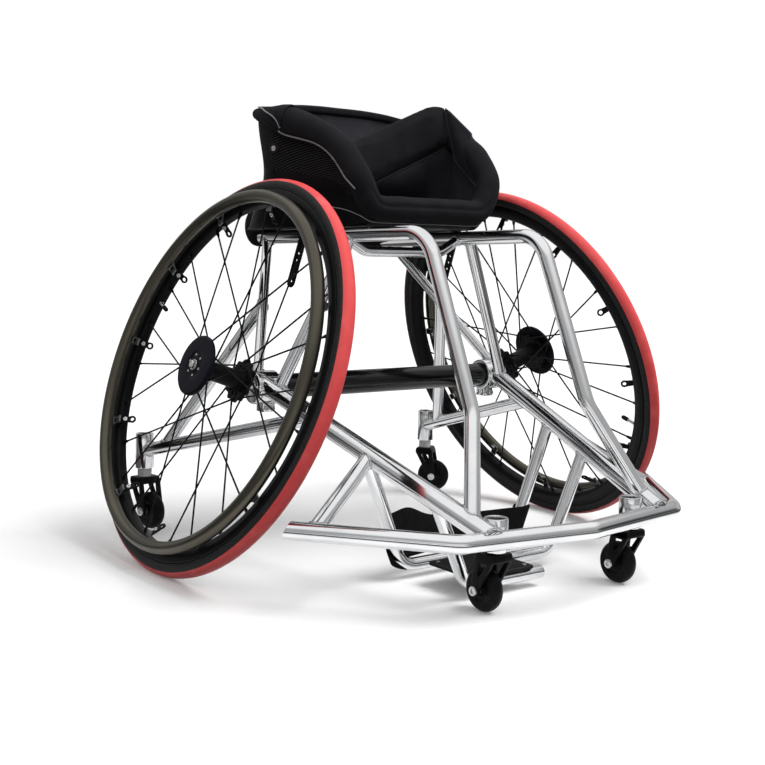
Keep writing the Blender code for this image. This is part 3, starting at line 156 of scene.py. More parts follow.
class Nodes:
    """A shader tree that nodes are added to."""

    def __init__(self, owner):
        owner.use_nodes = True
        self.tree = owner.node_tree

    def put(self, socket, value):
        if isinstance(value, Wire):
            self.tree.links.new(value.socket, socket)
        else:
            socket.default_value = value

    def node(self, kind, settings, inputs, out=0):
        made = self.tree.nodes.new(kind)
        for key, value in settings.items():
            setattr(made, key, value)
        for key, value in inputs.items():
            self.put(made.inputs[key], value)
        return Wire(self, made.outputs[out])

    def ray(self, kind):
        """1 for rays of one kind."""
        return self.node("ShaderNodeLightPath", {}, {}, f"Is {kind} Ray")

    def mixed(self, share, first, second):
        return self.node(
            "ShaderNodeMix",
            {"data_type": "RGBA"},
            {0: share, 6: (*first, 1), 7: (*second, 1)},
            2,
        )


class Finish(Nodes):
    """One procedural material."""

    def __init__(self, name, base, roughness, metallic=0.0, shine=0.5, **fixed):
        self.material = bpy.data.materials.new(name)
        super().__init__(self.material)
        self.shader = self.tree.nodes["Principled BSDF"]
        self.feed("Base Color", (*base, 1))
        self.feed("Roughness", roughness)
        self.feed("Metallic", metallic)
        self.feed("Specular IOR Level", shine)
        for socket, value in fixed.items():
            self.feed(socket.replace("_", " ").title(), value)

    def feed(self, name, value):
        self.put(self.shader.inputs[name], value)
        return self

    def tint(self, share, first, second):
        """Let the colour run from first to second."""
        return self.feed("Base Color", self.mixed(share, first, second))

    def where(self, stretch=(1, 1, 1), turn=(0, 0, 0), sheet=None):
        """Places on the object, or on its UV map where a sheet is named."""
        if sheet:
            coords = self.node("ShaderNodeUVMap", {"uv_map": sheet}, {})
        else:
            coords = self.node("ShaderNodeTexCoord", {}, {}, "Object")
        return self.node("ShaderNodeMapping", {}, {"Vector": coords, "Scale": stretch, "Rotation": turn})

    def grain(self, scale, detail=3.0, stretch=(1, 1, 1), turn=(0, 0, 0)):
        return self.node(
            "ShaderNodeTexNoise",
            {},
            {"Vector": self.where(stretch, turn), "Scale": scale, "Detail": detail},
            "Fac",
        )

    def waves(self, scale, axis="X", turn=(0, 0, 0), distortion=0.0, sheet=None):
        return self.node(
            "ShaderNodeTexWave",
            {"bands_direction": axis},
            {"Vector": self.where(turn=turn, sheet=sheet), "Scale": scale, "Distortion": distortion},
            "Fac",
        )

    def bump(self, height, distance, strength=1.0):
        lift = self.node(
            "ShaderNodeBump", {}, {"Height": height, "Distance": distance, "Strength": strength}, "Normal"
        )
        return self.feed("Normal", lift)


LOOKS = {}
WEAVE = "weave"
STITCH_SHARE = 0.36


def polished_aluminium():
    look = Finish("polished_aluminium", (0.79, 0.795, 0.805), 0.12, 1.0)
    haze = look.grain(14, 4.0)
    lines = look.grain(420, 2.0, stretch=(1, 0.12, 1))
    look.feed("Roughness", 0.085 + haze * 0.05 + lines.over(0.55, 0.8) * 0.03)
    look.tint(haze.over(0.35, 0.75), (0.84, 0.845, 0.855), (0.74, 0.75, 0.77))
    return look.bump(lines, 0.000004)


def weld_metal():
    look = Finish("weld_bead", (0.62, 0.62, 0.63), 0.24, 1.0)
    look.feed("Roughness", 0.16 + look.grain(900, 2.0) * 0.22)
    return look.bump(look.grain(1400, 2.0), 0.00008)


def black_coat(name, base, rough, coat, speckle):
    """A black coat over metal, a little dusty, with fine orange peel."""
    look = Finish(name, base, rough, 0.0, 0.1, coat_weight=coat, coat_roughness=0.08)
    dust = look.grain(34, 5.0)
    look.tint(dust.over(0.5, 0.85), base, [c * 1.6 + 0.002 for c in base])
    look.feed("Roughness", rough - 0.05 + dust * 0.12)
    return look.bump(look.grain(speckle, 2.0), 0.00003)


def tread_rubber(base):
    look = Finish("tread_rubber", base, 0.46)
    wear = look.grain(26, 4.0)
    file_marks = look.waves(380, "DIAGONAL") * look.waves(380, "DIAGONAL", turn=(0, pi / 2, 0))
    pale = [min(1, c * 1.15 + 0.05) for c in base]
    look.tint(wear.over(0.45, 0.8), base, pale)
    look.feed("Roughness", 0.40 + wear * 0.16)
    return look.bump(file_marks, 0.00006)


def wall_rubber():
    look = Finish("wall_rubber", (0.012, 0.012, 0.013), 0.5, shine=0.1)
    fine = look.grain(240, 4.0)
    look.tint(fine.over(0.4, 0.8), (0.028, 0.028, 0.029), (0.046, 0.046, 0.047))
    look.feed("Roughness", 0.40 + fine * 0.2)
    return look.bump(fine, 0.00006)


def anodised(base):
    look = Finish("handrim_anodising", base, 0.34, 0.85)
    rubbed = look.grain(9, 3.0)
    scratches = look.grain(700, 2.0, stretch=(1, 1, 0.06))
    look.tint(rubbed.over(0.45, 0.75), base, [c * 1.22 for c in base])
    look.feed("Roughness", 0.27 + rubbed * 0.08 + scratches.over(0.5, 0.75) * 0.08)
    return look.bump(scratches, 0.00002)


def turned_steel():
    look = Finish("turned_steel", (0.66, 0.655, 0.64), 0.22, 1.0)
    look.feed("Roughness", 0.14 + look.grain(600, 2.0) * 0.18)
    return look.bump(look.grain(1200, 2.0), 0.00002)


def knit_cloth(name, base):
    """Smooth foam-backed knit: a fine even knit with a soft sheen."""
    look = Finish(name, base, 0.7, shine=0.04, sheen_weight=0.02, sheen_roughness=0.45)
    knit = look.waves(620, "X") * look.waves(620, "Z") + look.waves(620, "Y") * 0.6
    tone = look.grain(30, 4.0)
    look.tint(tone.over(0.35, 0.8), base, [c * 1.35 for c in base])
    look.feed("Roughness", 0.62 + tone * 0.16)
    return look.bump(knit + tone * 0.6, 0.00018)


def rib_cloth():
    """Coarse ribbed net over the shell's outside."""
    look = Finish("rib_cloth", (0.008, 0.008, 0.009), 0.6, shine=0.04)
    rows = look.waves(105, "Y", (0, 0, 0.35), sheet=WEAVE) * look.waves(150, "X", (0, 0, -0.5), sheet=WEAVE)
    pits = rows.over(0.15, 0.55)
    look.tint(pits, (0.001, 0.001, 0.0012), (0.060, 0.060, 0.064))
    look.feed("Roughness", 0.45 + pits * 0.25)
    return look.bump(pits, 0.0005)


def webbing():
    look = Finish("webbing", (0.010, 0.010, 0.010), 0.75, shine=0.05)
    warp = look.waves(330, "X") + look.waves(330, "Y") + look.waves(240, "Z")
    look.tint(look.grain(60, 3.0), (0.007, 0.007, 0.007), (0.018, 0.018, 0.018))
    return look.bump(warp, 0.0002)


def piping_cord(base):
    look = Finish("piping_cord", base, 0.5, sheen_weight=0.2)
    twist = look.waves(420, "DIAGONAL", distortion=1.0)
    look.tint(twist, [c * 0.62 for c in base], base)
    return look.bump(twist, 0.0001)


def moulding():
    """Matt black plastic with a fine spark-eroded grain."""
    look = Finish("black_moulding", (0.012, 0.012, 0.012), 0.55, shine=0.12)
    grain = look.grain(520, 4.0)
    look.tint(look.grain(20), (0.008, 0.008, 0.008), (0.020, 0.020, 0.020))
    look.feed("Roughness", 0.46 + grain * 0.2)
    return look.bump(grain, 0.00012)


def bead_blasted():
    """Pale matt aluminium of the handrim's tabs."""
    look = Finish("bead_blasted", (0.20, 0.20, 0.20), 0.36, 0.9)
    grain = look.grain(900, 2.0)
    look.tint(look.grain(60), (0.16, 0.16, 0.162), (0.26, 0.26, 0.262))
    look.feed("Roughness", 0.34 + grain * 0.16)
    return look.bump(grain, 0.00004)


def urethane():
    """Dark grey cast urethane of the casters, scuffed on its tread."""
    look = Finish("urethane", (0.006, 0.006, 0.006), 0.42, shine=0.1)
    scuff = look.grain(160, 5.0)
    look.tint(scuff.over(0.5, 0.8), (0.005, 0.005, 0.005), (0.018, 0.018, 0.018))
    look.feed("Roughness", 0.32 + scuff * 0.25)
    return look.bump(scuff, 0.00008)


def clear_bush():
    look = Finish("pale_bush", (0.80, 0.80, 0.78), 0.3)
    look.feed("Roughness", 0.24 + look.grain(80) * 0.14)
    return look.bump(look.grain(300), 0.00004)


def make_looks(finishes):
    LOOKS.update(
        aluminium=polished_aluminium(),
        weld=weld_metal(),
        gloss=black_coat("gloss_black", (0.004, 0.004, 0.005), 0.16, 0.5, 260),
        satin=black_coat("satin_black", (0.007, 0.007, 0.008), 0.36, 0.0, 700),
        cover=black_coat("cover_black", (0.005, 0.0055, 0.011), 0.45, 0.0, 800),
        tread=tread_rubber(tuple(finishes.tread)),
        rubber=wall_rubber(),
        bronze=anodised(tuple(finishes.handrim)),
        steel=turned_steel(),
        knit=knit_cloth("knit_cloth", tuple(finishes.cloth)),
        pad=knit_cloth("pad_cloth", tuple(finishes.pad)),
        # The lining is the roll cloth made 2.4 times lighter: painted light inside the shaded bucket.
        lining=knit_cloth("lining_cloth", [2.4 * c for c in finishes.cloth]),
        ribs=rib_cloth(),
        webbing=webbing(),
        piping=piping_cord(tuple(finishes.piping)),
        moulding=moulding(),
        bush=clear_bush(),
        tab=bead_blasted(),
        tyre_dark=urethane(),
    )


def chair(point):
    """A place on the chair, moved from the axle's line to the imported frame."""
    return Vector((point[0], point[1] + AXLE_Y, point[2]))


def skinned(rows, around=True, over=False, first=False, last=False):
    """A mesh over rows of points: around closes each row, over joins the last row to the first."""
    rows = np.asarray(rows, float)
    high, wide = rows.shape[:2]
    faces = []
    for i in range(high if over else high - 1):
        k = (i + 1) % high
        for j in range(wide if around else wide - 1):
            n = (j + 1) % wide
            faces.append((i * wide + j, i * wide + n, k * wide + n, k * wide + j))
    if first:
        faces.append(tuple(range(wide))[::-1])
    if last:
        faces.append(tuple(range((high - 1) * wide, high * wide)))
    mesh = bpy.data.meshes.new("skin")
    mesh.from_pydata([tuple(p) for p in rows.reshape(-1, 3)], [], faces)
    return outward(mesh)


def outward(mesh):
    """Merge doubles and point the faces out."""
    shape = bmesh.new()
    shape.from_mesh(mesh)
    bmesh.ops.remove_doubles(shape, verts=shape.verts, dist=1e-6)
    bmesh.ops.recalc_face_normals(shape, faces=shape.faces)
    shape.to_mesh(mesh)
    shape.free()
    return mesh


def directions(route, closed):
    """Two unit vectors across a route at each of its points, turning as little as they can."""
    points = [Vector(p) for p in route]
    count = len(points)
    ahead = []
    for i in range(count):
        if closed:
            step = points[(i + 1) % count] - points[i - 1]
        else:
            step = points[min(i + 1, count - 1)] - points[max(i - 1, 0)]
        ahead.append(step.normalized())
    up = Vector((0, 0, 1)) if abs(ahead[0].z) < 0.9 else Vector((0, 1, 0))
    across = ahead[0].cross(up).normalized()
    made = []
    for i in range(count):
        across = (across - ahead[i] * across.dot(ahead[i])).normalized()
        made.append((across.copy(), ahead[i].cross(across)))
    return points, made


def swept(route, radius, sides=24, closed=False, dome=0.3):
    """A round bar along a route, with slightly domed ends; radius may be a list."""
    points, sets = directions(route, closed)
    radii = radius if hasattr(radius, "__len__") else [radius] * len(points)
    turns = [2 * pi * k / sides for k in range(sides)]

    def ring(at, pair, r):
        return [at + pair[0] * (r * cos(a)) + pair[1] * (r * sin(a)) for a in turns]

    rows = [ring(p, pair, r) for p, pair, r in zip(points, sets, radii)]
    if closed:
        return skinned(rows, over=True)
    start = (points[0] - points[1]).normalized()
    end = (points[-1] - points[-2]).normalized()
    for k in (30, 60, 82):
        tip = dome * sin(radians(k))
        rows.insert(0, ring(points[0] + start * (tip * radii[0]), sets[0], radii[0] * cos(radians(k))))
        rows.append(ring(points[-1] + end * (tip * radii[-1]), sets[-1], radii[-1] * cos(radians(k))))
    return skinned(rows, first=True, last=True)


def turned(profile, matrix=Matrix(), segments=64, closed=True):
    """A profile of (radius, height) points turned about a matrix's Z axis."""
    rows = []
    for r, z in profile:
        turns = (2 * pi * k / segments for k in range(segments))
        rows.append([matrix @ Vector((r * cos(a), r * sin(a), z)) for a in turns])
    return skinned(rows, over=closed, first=not closed, last=not closed)


def softened(profile, radius, steps=3):
    """Round the corners of a closed (radius, height) profile."""
    made = []
    count = len(profile)
    for i in range(count):
        before, here, after = (Vector(profile[(i + k) % count]) for k in (-1, 0, 1))
        a, b = before - here, after - here
        if abs(here.x) < 1e-9 or a.length < 1e-6 or b.length < 1e-6:
            made.append(tuple(here))
            continue
        reach = min(radius, a.length * 0.45, b.length * 0.45)
        start, end = here + a.normalized() * reach, here + b.normalized() * reach
        for k in range(steps + 1):
            t = k / steps
            made.append(tuple(start * (1 - t) ** 2 + here * (2 * t * (1 - t)) + end * t**2))
    return made


def lathed(profile, edge, matrix, segments):
    """A closed profile turned about a matrix's Z axis, with its corners rounded."""
    return turned(softened(profile, edge), matrix, segments)


def plate(outlines, thickness, edge, matrix):
    """A flat plate with rounded edges, from an outline and the outlines of its holes."""
    data = bpy.data.curves.new("plate", "CURVE")
    data.dimensions = "2D"
    data.fill_mode = "BOTH"
    data.extrude = thickness / 2 - edge
    data.bevel_depth = edge
    data.bevel_resolution = 2
    data.offset = -edge
    for outline in outlines:
        spline = data.splines.new("POLY")
        spline.points.add(len(outline) - 1)
        spline.use_cyclic_u = True
        for point, (u, v) in zip(spline.points, outline):
            point.co = (u, v, 0, 1)
    guide = placed("plate", data)
    mesh = baked(guide)
    bpy.data.objects.remove(guide)
    mesh.transform(matrix)
    return outward(mesh)


def circle(radius, centre=(0, 0), count=24, start=0.0, end=2 * pi):
    whole = end - start >= 2 * pi - 1e-6
    last = count if whole else count - 1
    return [
        (centre[0] + radius * cos(start + (end - start) * k / last),
         centre[1] + radius * sin(start + (end - start) * k / last))
        for k in range(count)
    ]


def placed(name, data):
    """A new object in the scene."""
    made = bpy.data.objects.new(name, data)
    bpy.context.scene.collection.objects.link(made)
    return made


def baked(obj):
    """An object's evaluated mesh."""
    bpy.context.view_layer.update()
    graph = bpy.context.evaluated_depsgraph_get()
    return bpy.data.meshes.new_from_object(obj.evaluated_get(graph))


def thickened(mesh, thickness):
    """A sheet given an even thickness."""
    guide = placed("sheet", mesh)
    step = guide.modifiers.new("thick", "SOLIDIFY")
    step.thickness = thickness
    step.offset = 0
    made = baked(guide)
    bpy.data.objects.remove(guide)
    return outward(made)


def block(low, high, edge, matrix=Matrix()):
    """A box with rounded edges."""
    shape = bmesh.new()
    bmesh.ops.create_cube(shape, size=1)
    size = Vector(high) - Vector(low)
    middle = (Vector(high) + Vector(low)) / 2
    for v in shape.verts:
        v.co = Vector(c * s for c, s in zip(v.co, size)) + middle
    bmesh.ops.bevel(
        shape, geom=shape.edges[:], offset=edge, segments=3, profile=0.5, affect="EDGES", clamp_overlap=True
    )
    mesh = bpy.data.meshes.new("block")
    shape.to_mesh(mesh)
    shape.free()
    mesh.transform(matrix)
    return mesh


def copying_tree(name, inputs):
    """A geometry node tree that puts copies on points and paints them: the tree and its open nodes."""
    tree = bpy.data.node_groups.new(name, "GeometryNodeTree")
    for title, kind in inputs.items():
        tree.interface.new_socket(title, in_out="INPUT", socket_type=f"NodeSocket{kind}")
    tree.interface.new_socket("Copies", in_out="OUTPUT", socket_type="NodeSocketGeometry")
    add, join = tree.nodes.new, tree.links.new
    source, sink = add("NodeGroupInput"), add("NodeGroupOutput")
    copy, real = add("GeometryNodeInstanceOnPoints"), add("GeometryNodeRealizeInstances")
    paint = add("GeometryNodeSetMaterial")
    join(copy.outputs[0], real.inputs[0])
    join(real.outputs[0], paint.inputs["Geometry"])
    join(source.outputs["Finish"], paint.inputs["Material"])
    join(paint.outputs[0], sink.inputs[0])
    return tree, source.outputs, copy.inputs


def ring_tree():
    """Geometry nodes: copies of a piece round its own Z axis."""
    inputs = {"Piece": "Geometry", "Count": "Int", "Phase": "Float", "Finish": "Material"}
    tree, given, copy = copying_tree("ring_of_copies", inputs)
    add, join = tree.nodes.new, tree.links.new
    points, index = add("GeometryNodePoints"), add("GeometryNodeInputIndex")
    step, turn, spin = (add("ShaderNodeMath") for _ in range(3))
    step.operation, turn.operation = "DIVIDE", "MULTIPLY"
    step.inputs[0].default_value = 2 * pi
    axis = add("ShaderNodeCombineXYZ")
    join(given["Count"], points.inputs["Count"])
    join(given["Count"], step.inputs[1])
    join(step.outputs[0], turn.inputs[0])
    join(index.outputs[0], turn.inputs[1])
    join(turn.outputs[0], spin.inputs[0])
    join(given["Phase"], spin.inputs[1])
    join(spin.outputs[0], axis.inputs["Z"])
    join(points.outputs[0], copy["Points"])
    join(given["Piece"], copy["Instance"])
    join(axis.outputs[0], copy["Rotation"])
    return tree


def stitch_tree():
    """Geometry nodes: short stitches at an even pitch along a curve."""
    inputs = {"Route": "Geometry", "Pitch": "Float", "Thread": "Float", "Finish": "Material"}
    tree, given, copy = copying_tree("stitch_row", inputs)
    add, join = tree.nodes.new, tree.links.new
    points, bead = add("GeometryNodeCurveToPoints"), add("GeometryNodeMeshUVSphere")
    points.mode = "LENGTH"
    for name, value in (("Segments", 6), ("Rings", 5), ("Radius", 1)):
        bead.inputs[name].default_value = value
    slim, size = add("ShaderNodeMath"), add("ShaderNodeCombineXYZ")
    slim.operation = "MULTIPLY"
    slim.inputs[1].default_value = STITCH_SHARE
    join(given["Route"], points.inputs["Curve"])
    join(given["Pitch"], points.inputs["Length"])
    join(given["Pitch"], slim.inputs[0])
    join(given["Thread"], size.inputs["X"])
    join(given["Thread"], size.inputs["Y"])
    join(slim.outputs[0], size.inputs["Z"])
    join(points.outputs["Points"], copy["Points"])
    join(bead.outputs["Mesh"], copy["Instance"])
    join(points.outputs["Rotation"], copy["Rotation"])
    join(size.outputs[0], copy["Scale"])
    return tree


TREES = {}


def grown(data, tree_name, inputs):
    """Run a node tree on a mesh or curve and return the plain mesh it makes."""
    makers = {"ring": ring_tree, "stitch": stitch_tree}
    if tree_name not in TREES:
        TREES[tree_name] = makers[tree_name]()
    tree = TREES[tree_name]
    names = {s.name: s.identifier for s in tree.interface.items_tree if s.in_out == "INPUT"}
    guide = placed("guide", data)
    step = guide.modifiers.new("grow", "NODES")
    step.node_group = tree
    for name, value in inputs.items():
        step[names[name]] = value
    mesh = baked(guide)
    bpy.data.objects.remove(guide)
    return mesh


def ring_of(mesh, count, phase, look, matrix):
    made = grown(mesh, "ring", {"Count": count, "Phase": phase, "Finish": LOOKS[look].material})
    made.transform(matrix)
    return made


def stitches(route, pitch, thread, look, closed=False):
    data = bpy.data.curves.new("stitch_line", "CURVE")
    data.dimensions = "3D"
    spline = data.splines.new("POLY")
    spline.points.add(len(route) - 1)
    spline.use_cyclic_u = closed
    for point, place in zip(spline.points, route):
        point.co = (*place, 1)
    return grown(data, "stitch", {"Pitch": pitch, "Thread": thread, "Finish": LOOKS[look].material})


def piece(name, body, chunks, nodes=(), sharp=38):
    """Join painted chunks into one object that rides on a body and stands for CAD nodes."""
    shape = bmesh.new()
    mesh = bpy.data.meshes.new(name)
    order = list(dict.fromkeys(look for _, look in chunks))
    for look in order:
        mesh.materials.append(LOOKS[look].material)
    for part, look in chunks:
        before = len(shape.faces)
        shape.from_mesh(part)
        shape.faces.ensure_lookup_table()
        for face in shape.faces[before:]:
            face.material_index = order.index(look)
    shape.to_mesh(mesh)
    shape.free()
    mesh.shade_smooth()
    mesh.set_sharp_from_angle(angle=radians(sharp))
    made = placed(name, mesh)
    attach(made, body)
    if nodes:
        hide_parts(*nodes)
    return made


def axes(origin, x, y, z):
    """A matrix from an origin and three unit vectors."""
    return Matrix.Translation(origin) @ Matrix((x, y, z)).transposed().to_4x4()


def mirrored(point, side):
    return Vector((point[0] * side, point[1], point[2]))


def rounded(points, bends, steps=10):
    """A route through points with its inner corners turned into arcs of the given radii."""
    points = [Vector(p) for p in points]
    made = [points[0]]
    for i, bend in enumerate(bends, 1):
        here = points[i]
        a, b = (points[i - 1] - here).normalized(), (points[i + 1] - here).normalized()
        half = acos(max(-1, min(1, a.dot(b)))) / 2
        middle = here + (a + b).normalized() * (bend / sin(half))
        start, end = here + a * (bend / tan(half)), here + b * (bend / tan(half))
        first, last = (start - middle).normalized(), (end - middle).normalized()
        for k in range(steps + 1):
            made.append(middle + first.slerp(last, k / steps) * bend)
    return made + [points[-1]]


def wheel_axes(side):
    """The wheel's own frame: Z is the axle, outward, and Y is the chair's rear."""
    joint = JOINTS[f"{side}_wheel_spin"]
    out = Vector(joint["axis"]).normalized()
    back = Vector((0, 1, 0))
    return axes(Vector(joint["pos_m"]), back.cross(out), back, out)


def screw_head(radius, height, matrix):
    """A socket screw's head: a rounded disc with a hexagon recess."""
    base = turned(softened([(0, 0), (radius, 0), (radius, height / 2), (0, height / 2)], height / 8), matrix)
    rim = plate(
        [circle(radius, count=32), circle(radius * 0.52, count=6)],
        height / 2,
        height / 8,
        matrix @ Matrix.Translation((0, 0, height * 0.74)),
    )
    return [base, rim]


def screws(radius, height, matrix):
    """A screw head as painted chunks."""
    return [(mesh, "steel") for mesh in screw_head(radius, height, matrix)]


def smoothed(made):
    """Round an object off by one level of subdivision."""
    soft = made.modifiers.new("soft", "SUBSURF")
    soft.levels = soft.render_levels = 1


HOOP_SEGMENTS = 160
INNER_FLANGE, OUTER_FLANGE = -0.041, 0.029
FLANGE_THICKNESS = 0.006
SPOKE_GROUPS = 6
SPOKE_LEAD = radians(60)
TAB_COUNT, TAB_PHASE = 12, radians(24.5)


def tyre(side, sizes):
    """A slick tyre: a red tread cap over black side walls."""
    ring = sizes.radius - sizes.tyre
    wall = circle(sizes.tyre - 0.0002, (ring, 0), 48)
    edge = radians(61)
    cap = circle(sizes.tyre, (ring, 0), 33, -edge, edge)
    cap += circle(sizes.tyre - 0.0012, (ring, 0), 17, -edge, edge)[::-1]
    seams = [circle(0.0005, (ring + (sizes.tyre - 0.0002) * cos(a), (sizes.tyre - 0.0002) * sin(a)), 8)
             for a in (radians(118), radians(-118))]
    at = wheel_axes(side)
    chunks = [(turned(wall, at, HOOP_SEGMENTS), "rubber"), (turned(cap, at, HOOP_SEGMENTS), "tread")]
    chunks += [(turned(seam, at, HOOP_SEGMENTS), "rubber") for seam in seams]
    piece(f"{side}_tyre_slick", f"{side}_drive_wheel", chunks, [f"{side}_tyre"], 60)


def rim(side):
    """A double-wall rim with its valve."""
    half = [
        (0.2785, 0.0), (0.2785, 0.0070), (0.2843, 0.0096), (0.2850, 0.0112), (0.2838, 0.0122),
        (0.2760, 0.0124), (0.2690, 0.0110), (0.2632, 0.0074), (0.2620, 0.0040), (0.2620, 0.0),
    ]
    profile = half + [(r, -z) for r, z in half[-2:0:-1]]
    at = wheel_axes(side)
    chunks = [(lathed(profile, 0.0009, at, HOOP_SEGMENTS), "satin")]
    stem_at = at @ Matrix.Rotation(radians(68.6) * -SIDES[side], 4, "Z") @ Matrix.Translation((0.262, 0, 0))
    inward = stem_at @ Matrix.Rotation(-pi / 2, 4, "Y")
    stem = [(0, -0.002), (0.0042, -0.002), (0.0042, 0.002), (0.0028, 0.004), (0.0028, 0.018), (0, 0.018)]
    cap = [(0, 0.016), (0.0036, 0.016), (0.0036, 0.026), (0.0022, 0.029), (0, 0.029)]
    chunks.append((lathed(stem, 0.0004, inward, 24), "steel"))
    chunks.append((lathed(cap, 0.0006, inward, 24), "moulding"))
    piece(f"{side}_rim_hoop", f"{side}_drive_wheel", chunks, [f"{side}_rim"], 50)


def spoke_group(side, sizes):
    """Four spokes and their nipples: one pulls and one trails from each flange."""
    wires, nipples = [], []
    for k in range(4):
        angle = -SIDES[side] * radians(2 + 15 * k)
        lead = SPOKE_LEAD if k < 2 else -SPOKE_LEAD
        flange, stagger = (OUTER_FLANGE, 0.0019) if k % 2 else (INNER_FLANGE, -0.0019)
        flange += 0.0022 if k < 2 else -0.0022
        start = Vector((0.02825 * cos(angle + lead), 0.02825 * sin(angle + lead), flange))
        end = Vector((0.2622 * cos(angle), 0.2622 * sin(angle), stagger))
        way = (end - start).normalized()
        stations = [start, start.lerp(end, 0.08), start.lerp(end, 0.12), start.lerp(end, 0.9), end]
        thin = sizes.spoke * 0.9
        wires.append(swept(stations, [sizes.spoke, sizes.spoke, thin, thin, sizes.spoke], 8))
        wires.append(swept([start - way * 0.0016, start + way * 0.0016], 0.0019, 8, dome=0.6))
        tip = [end + way * 0.001, end - way * 0.003, end - way * 0.0085, end - way * 0.0105]
        nipples.append(swept(tip, [0.0028, 0.0027, 0.0023, 0.0018], 8))
    return wires, nipples


def joined(meshes):
    """Several meshes as one."""
    shape = bmesh.new()
    for mesh in meshes:
        shape.from_mesh(mesh)
    made = bpy.data.meshes.new("joined")
    shape.to_mesh(made)
    shape.free()
    return made


def flange(outline_radius, thickness, height, matrix, holes):
    """A spoke flange with a lobe at each pair of spokes and, where asked for, a ring of holes."""
    edge = []
    for k in range(144):
        a = 2 * pi * k / 144
        r = outline_radius - 0.0021 + 0.0021 * cos(12 * a)
        edge.append((r * cos(a), r * sin(a)))
    outlines = [edge, circle(0.0135, count=40)]
    if holes:
        for k in range(12):
            a = 2 * pi * (k + 0.5) / 12
            outlines.append(circle(0.0030, (0.0205 * cos(a), 0.0205 * sin(a)), 14))
    return plate(outlines, thickness, 0.0008, matrix @ Matrix.Translation((0, 0, height)))


def hub(side, sizes):
    """Hub barrel, flanges and spokes."""
    at = wheel_axes(side)
    barrel = [
        (0.0119, -0.048), (0.0135, -0.048), (0.0152, -0.0455), (0.0165, -0.0440), (0.0165, -0.0375),
        (0.0150, -0.0345), (0.0143, -0.018), (0.0141, 0.0), (0.0143, 0.016), (0.0158, 0.0255),
        (0.0190, 0.0265), (0.0190, 0.0325), (0.0160, 0.0340), (0.0119, 0.0340),
    ]
    wires, nipples = spoke_group(side, sizes)
    chunks = [
        (lathed(barrel, 0.001, at, 64), "satin"),
        (flange(0.0335, FLANGE_THICKNESS, INNER_FLANGE, at, True), "satin"),
        (flange(0.0330, FLANGE_THICKNESS, OUTER_FLANGE, at, False), "satin"),
        (ring_of(joined(wires), SPOKE_GROUPS, 0.0, "satin", at), "satin"),
        (ring_of(joined(nipples), SPOKE_GROUPS, 0.0, "satin", at), "satin"),
    ]
    piece(f"{side}_spoked_hub", f"{side}_drive_wheel", chunks, [f"{side}_hub"])


def hub_cover(side):
    """A thick round cover over the outer flange, with six screws round its boss."""
    at = wheel_axes(side)
    profile = [
        (0.0086, 0.0343), (0.0440, 0.0343), (0.0455, 0.0352), (0.0455, 0.0392), (0.0428, 0.0412),
        (0.0215, 0.0413), (0.0195, 0.0401), (0.0120, 0.0401), (0.0108, 0.0411), (0.0086, 0.0411),
    ]
    chunks = [(lathed(profile, 0.0011, at, 96), "cover")]
    head = joined(screw_head(0.0019, 0.0016, Matrix.Translation((0.0157, 0, 0.0400))))
    chunks.append((ring_of(head, 6, 0.2, "steel", at), "steel"))
    piece(f"{side}_hub_disc", f"{side}_drive_wheel", chunks, [f"{side}_hub_cover"])


def handrim(side, sizes):
    """The push rim, with twelve eyed tabs that bolt it to the rim."""
    at = wheel_axes(side)
    loop = circle(sizes.handrim_tube, (sizes.handrim, sizes.handrim_offset), 28)
    foot = sizes.handrim - 0.005
    lug = block((foot - 0.0130, -0.0058, 0.0131), (foot + 0.0090, 0.0058, 0.0161), 0.0010)
    post = block((foot - 0.0010, -0.0056, 0.0131), (foot + 0.0090, 0.0056, 0.0225), 0.0012)
    leaning = Matrix.Translation((foot - 0.001, 0, 0.0165)) @ Matrix.Rotation(radians(-41), 4, "Y")
    eye = circle(0.0060, (-0.0280, 0), 17, radians(60), radians(300))
    arm = plate(
        [softened([(0.002, -0.0034), (0.002, 0.0034)] + eye, 0.0008), circle(0.0030, (-0.0280, 0), 14)],
        0.0028,
        0.0006,
        leaning,
    )
    bolts = screw_head(0.0034, 0.0028, leaning @ Matrix.Translation((-0.0175, 0, 0.0012)))
    phase = -SIDES[side] * TAB_PHASE
    chunks = [
        (turned(loop, at, 180), "bronze"),
        (ring_of(joined([lug, post]), TAB_COUNT, phase, "tab", at), "tab"),
        (ring_of(arm, TAB_COUNT, phase, "satin", at), "satin"),
        (ring_of(joined(bolts), TAB_COUNT, phase, "steel", at), "steel"),
    ]
    piece(f"{side}_push_rim", f"{side}_drive_wheel", chunks, [f"{side}_handrim"], 45)


def axle(side):
    """The quick-release axle and its button; the button rides on its own body."""
    at = wheel_axes(side)
    pin = [
        (0, -0.0800), (0.0050, -0.0800), (0.00635, -0.0785), (0.00635, 0.0343), (0.0080, 0.0343),
        (0.0080, 0.0428), (0.0063, 0.0428), (0.0063, 0.0361), (0, 0.0361),
    ]
    button = [
        (0, 0.0405), (0.0058, 0.0405), (0.0058, 0.0462), (0.0046, 0.0473), (0.0026, 0.0470), (0, 0.0468),
    ]
    chunks = [(lathed(pin, 0.0005, at, 40), "steel")]
    piece(f"{side}_axle_pin", "chair", chunks, [f"{side}_axle"])
    chunks = [(lathed(button, 0.0004, at, 40), "steel")]
    piece(f"{side}_button", f"{side}_release", chunks, [f"{side}_release_button"])
    bearing = frame["nodes"][f"{side}_hub_bearing"]
    bearing.data.materials.clear()
    bearing.data.materials.append(LOOKS["steel"].material)


CLAMP = Vector((0.2365, 0.0, 0.262))
CLAMP_RADIUS = 0.0255
REAR_STRUT, MID_STRUT, CROSSBAR = 0.008, 0.0095, 0.008
WING_STRUT, BRACE = 0.011, 0.010
CROSSBAR_Y = -0.045
BUMPER_BEND = 0.036
ARM_BARREL = 0.01475
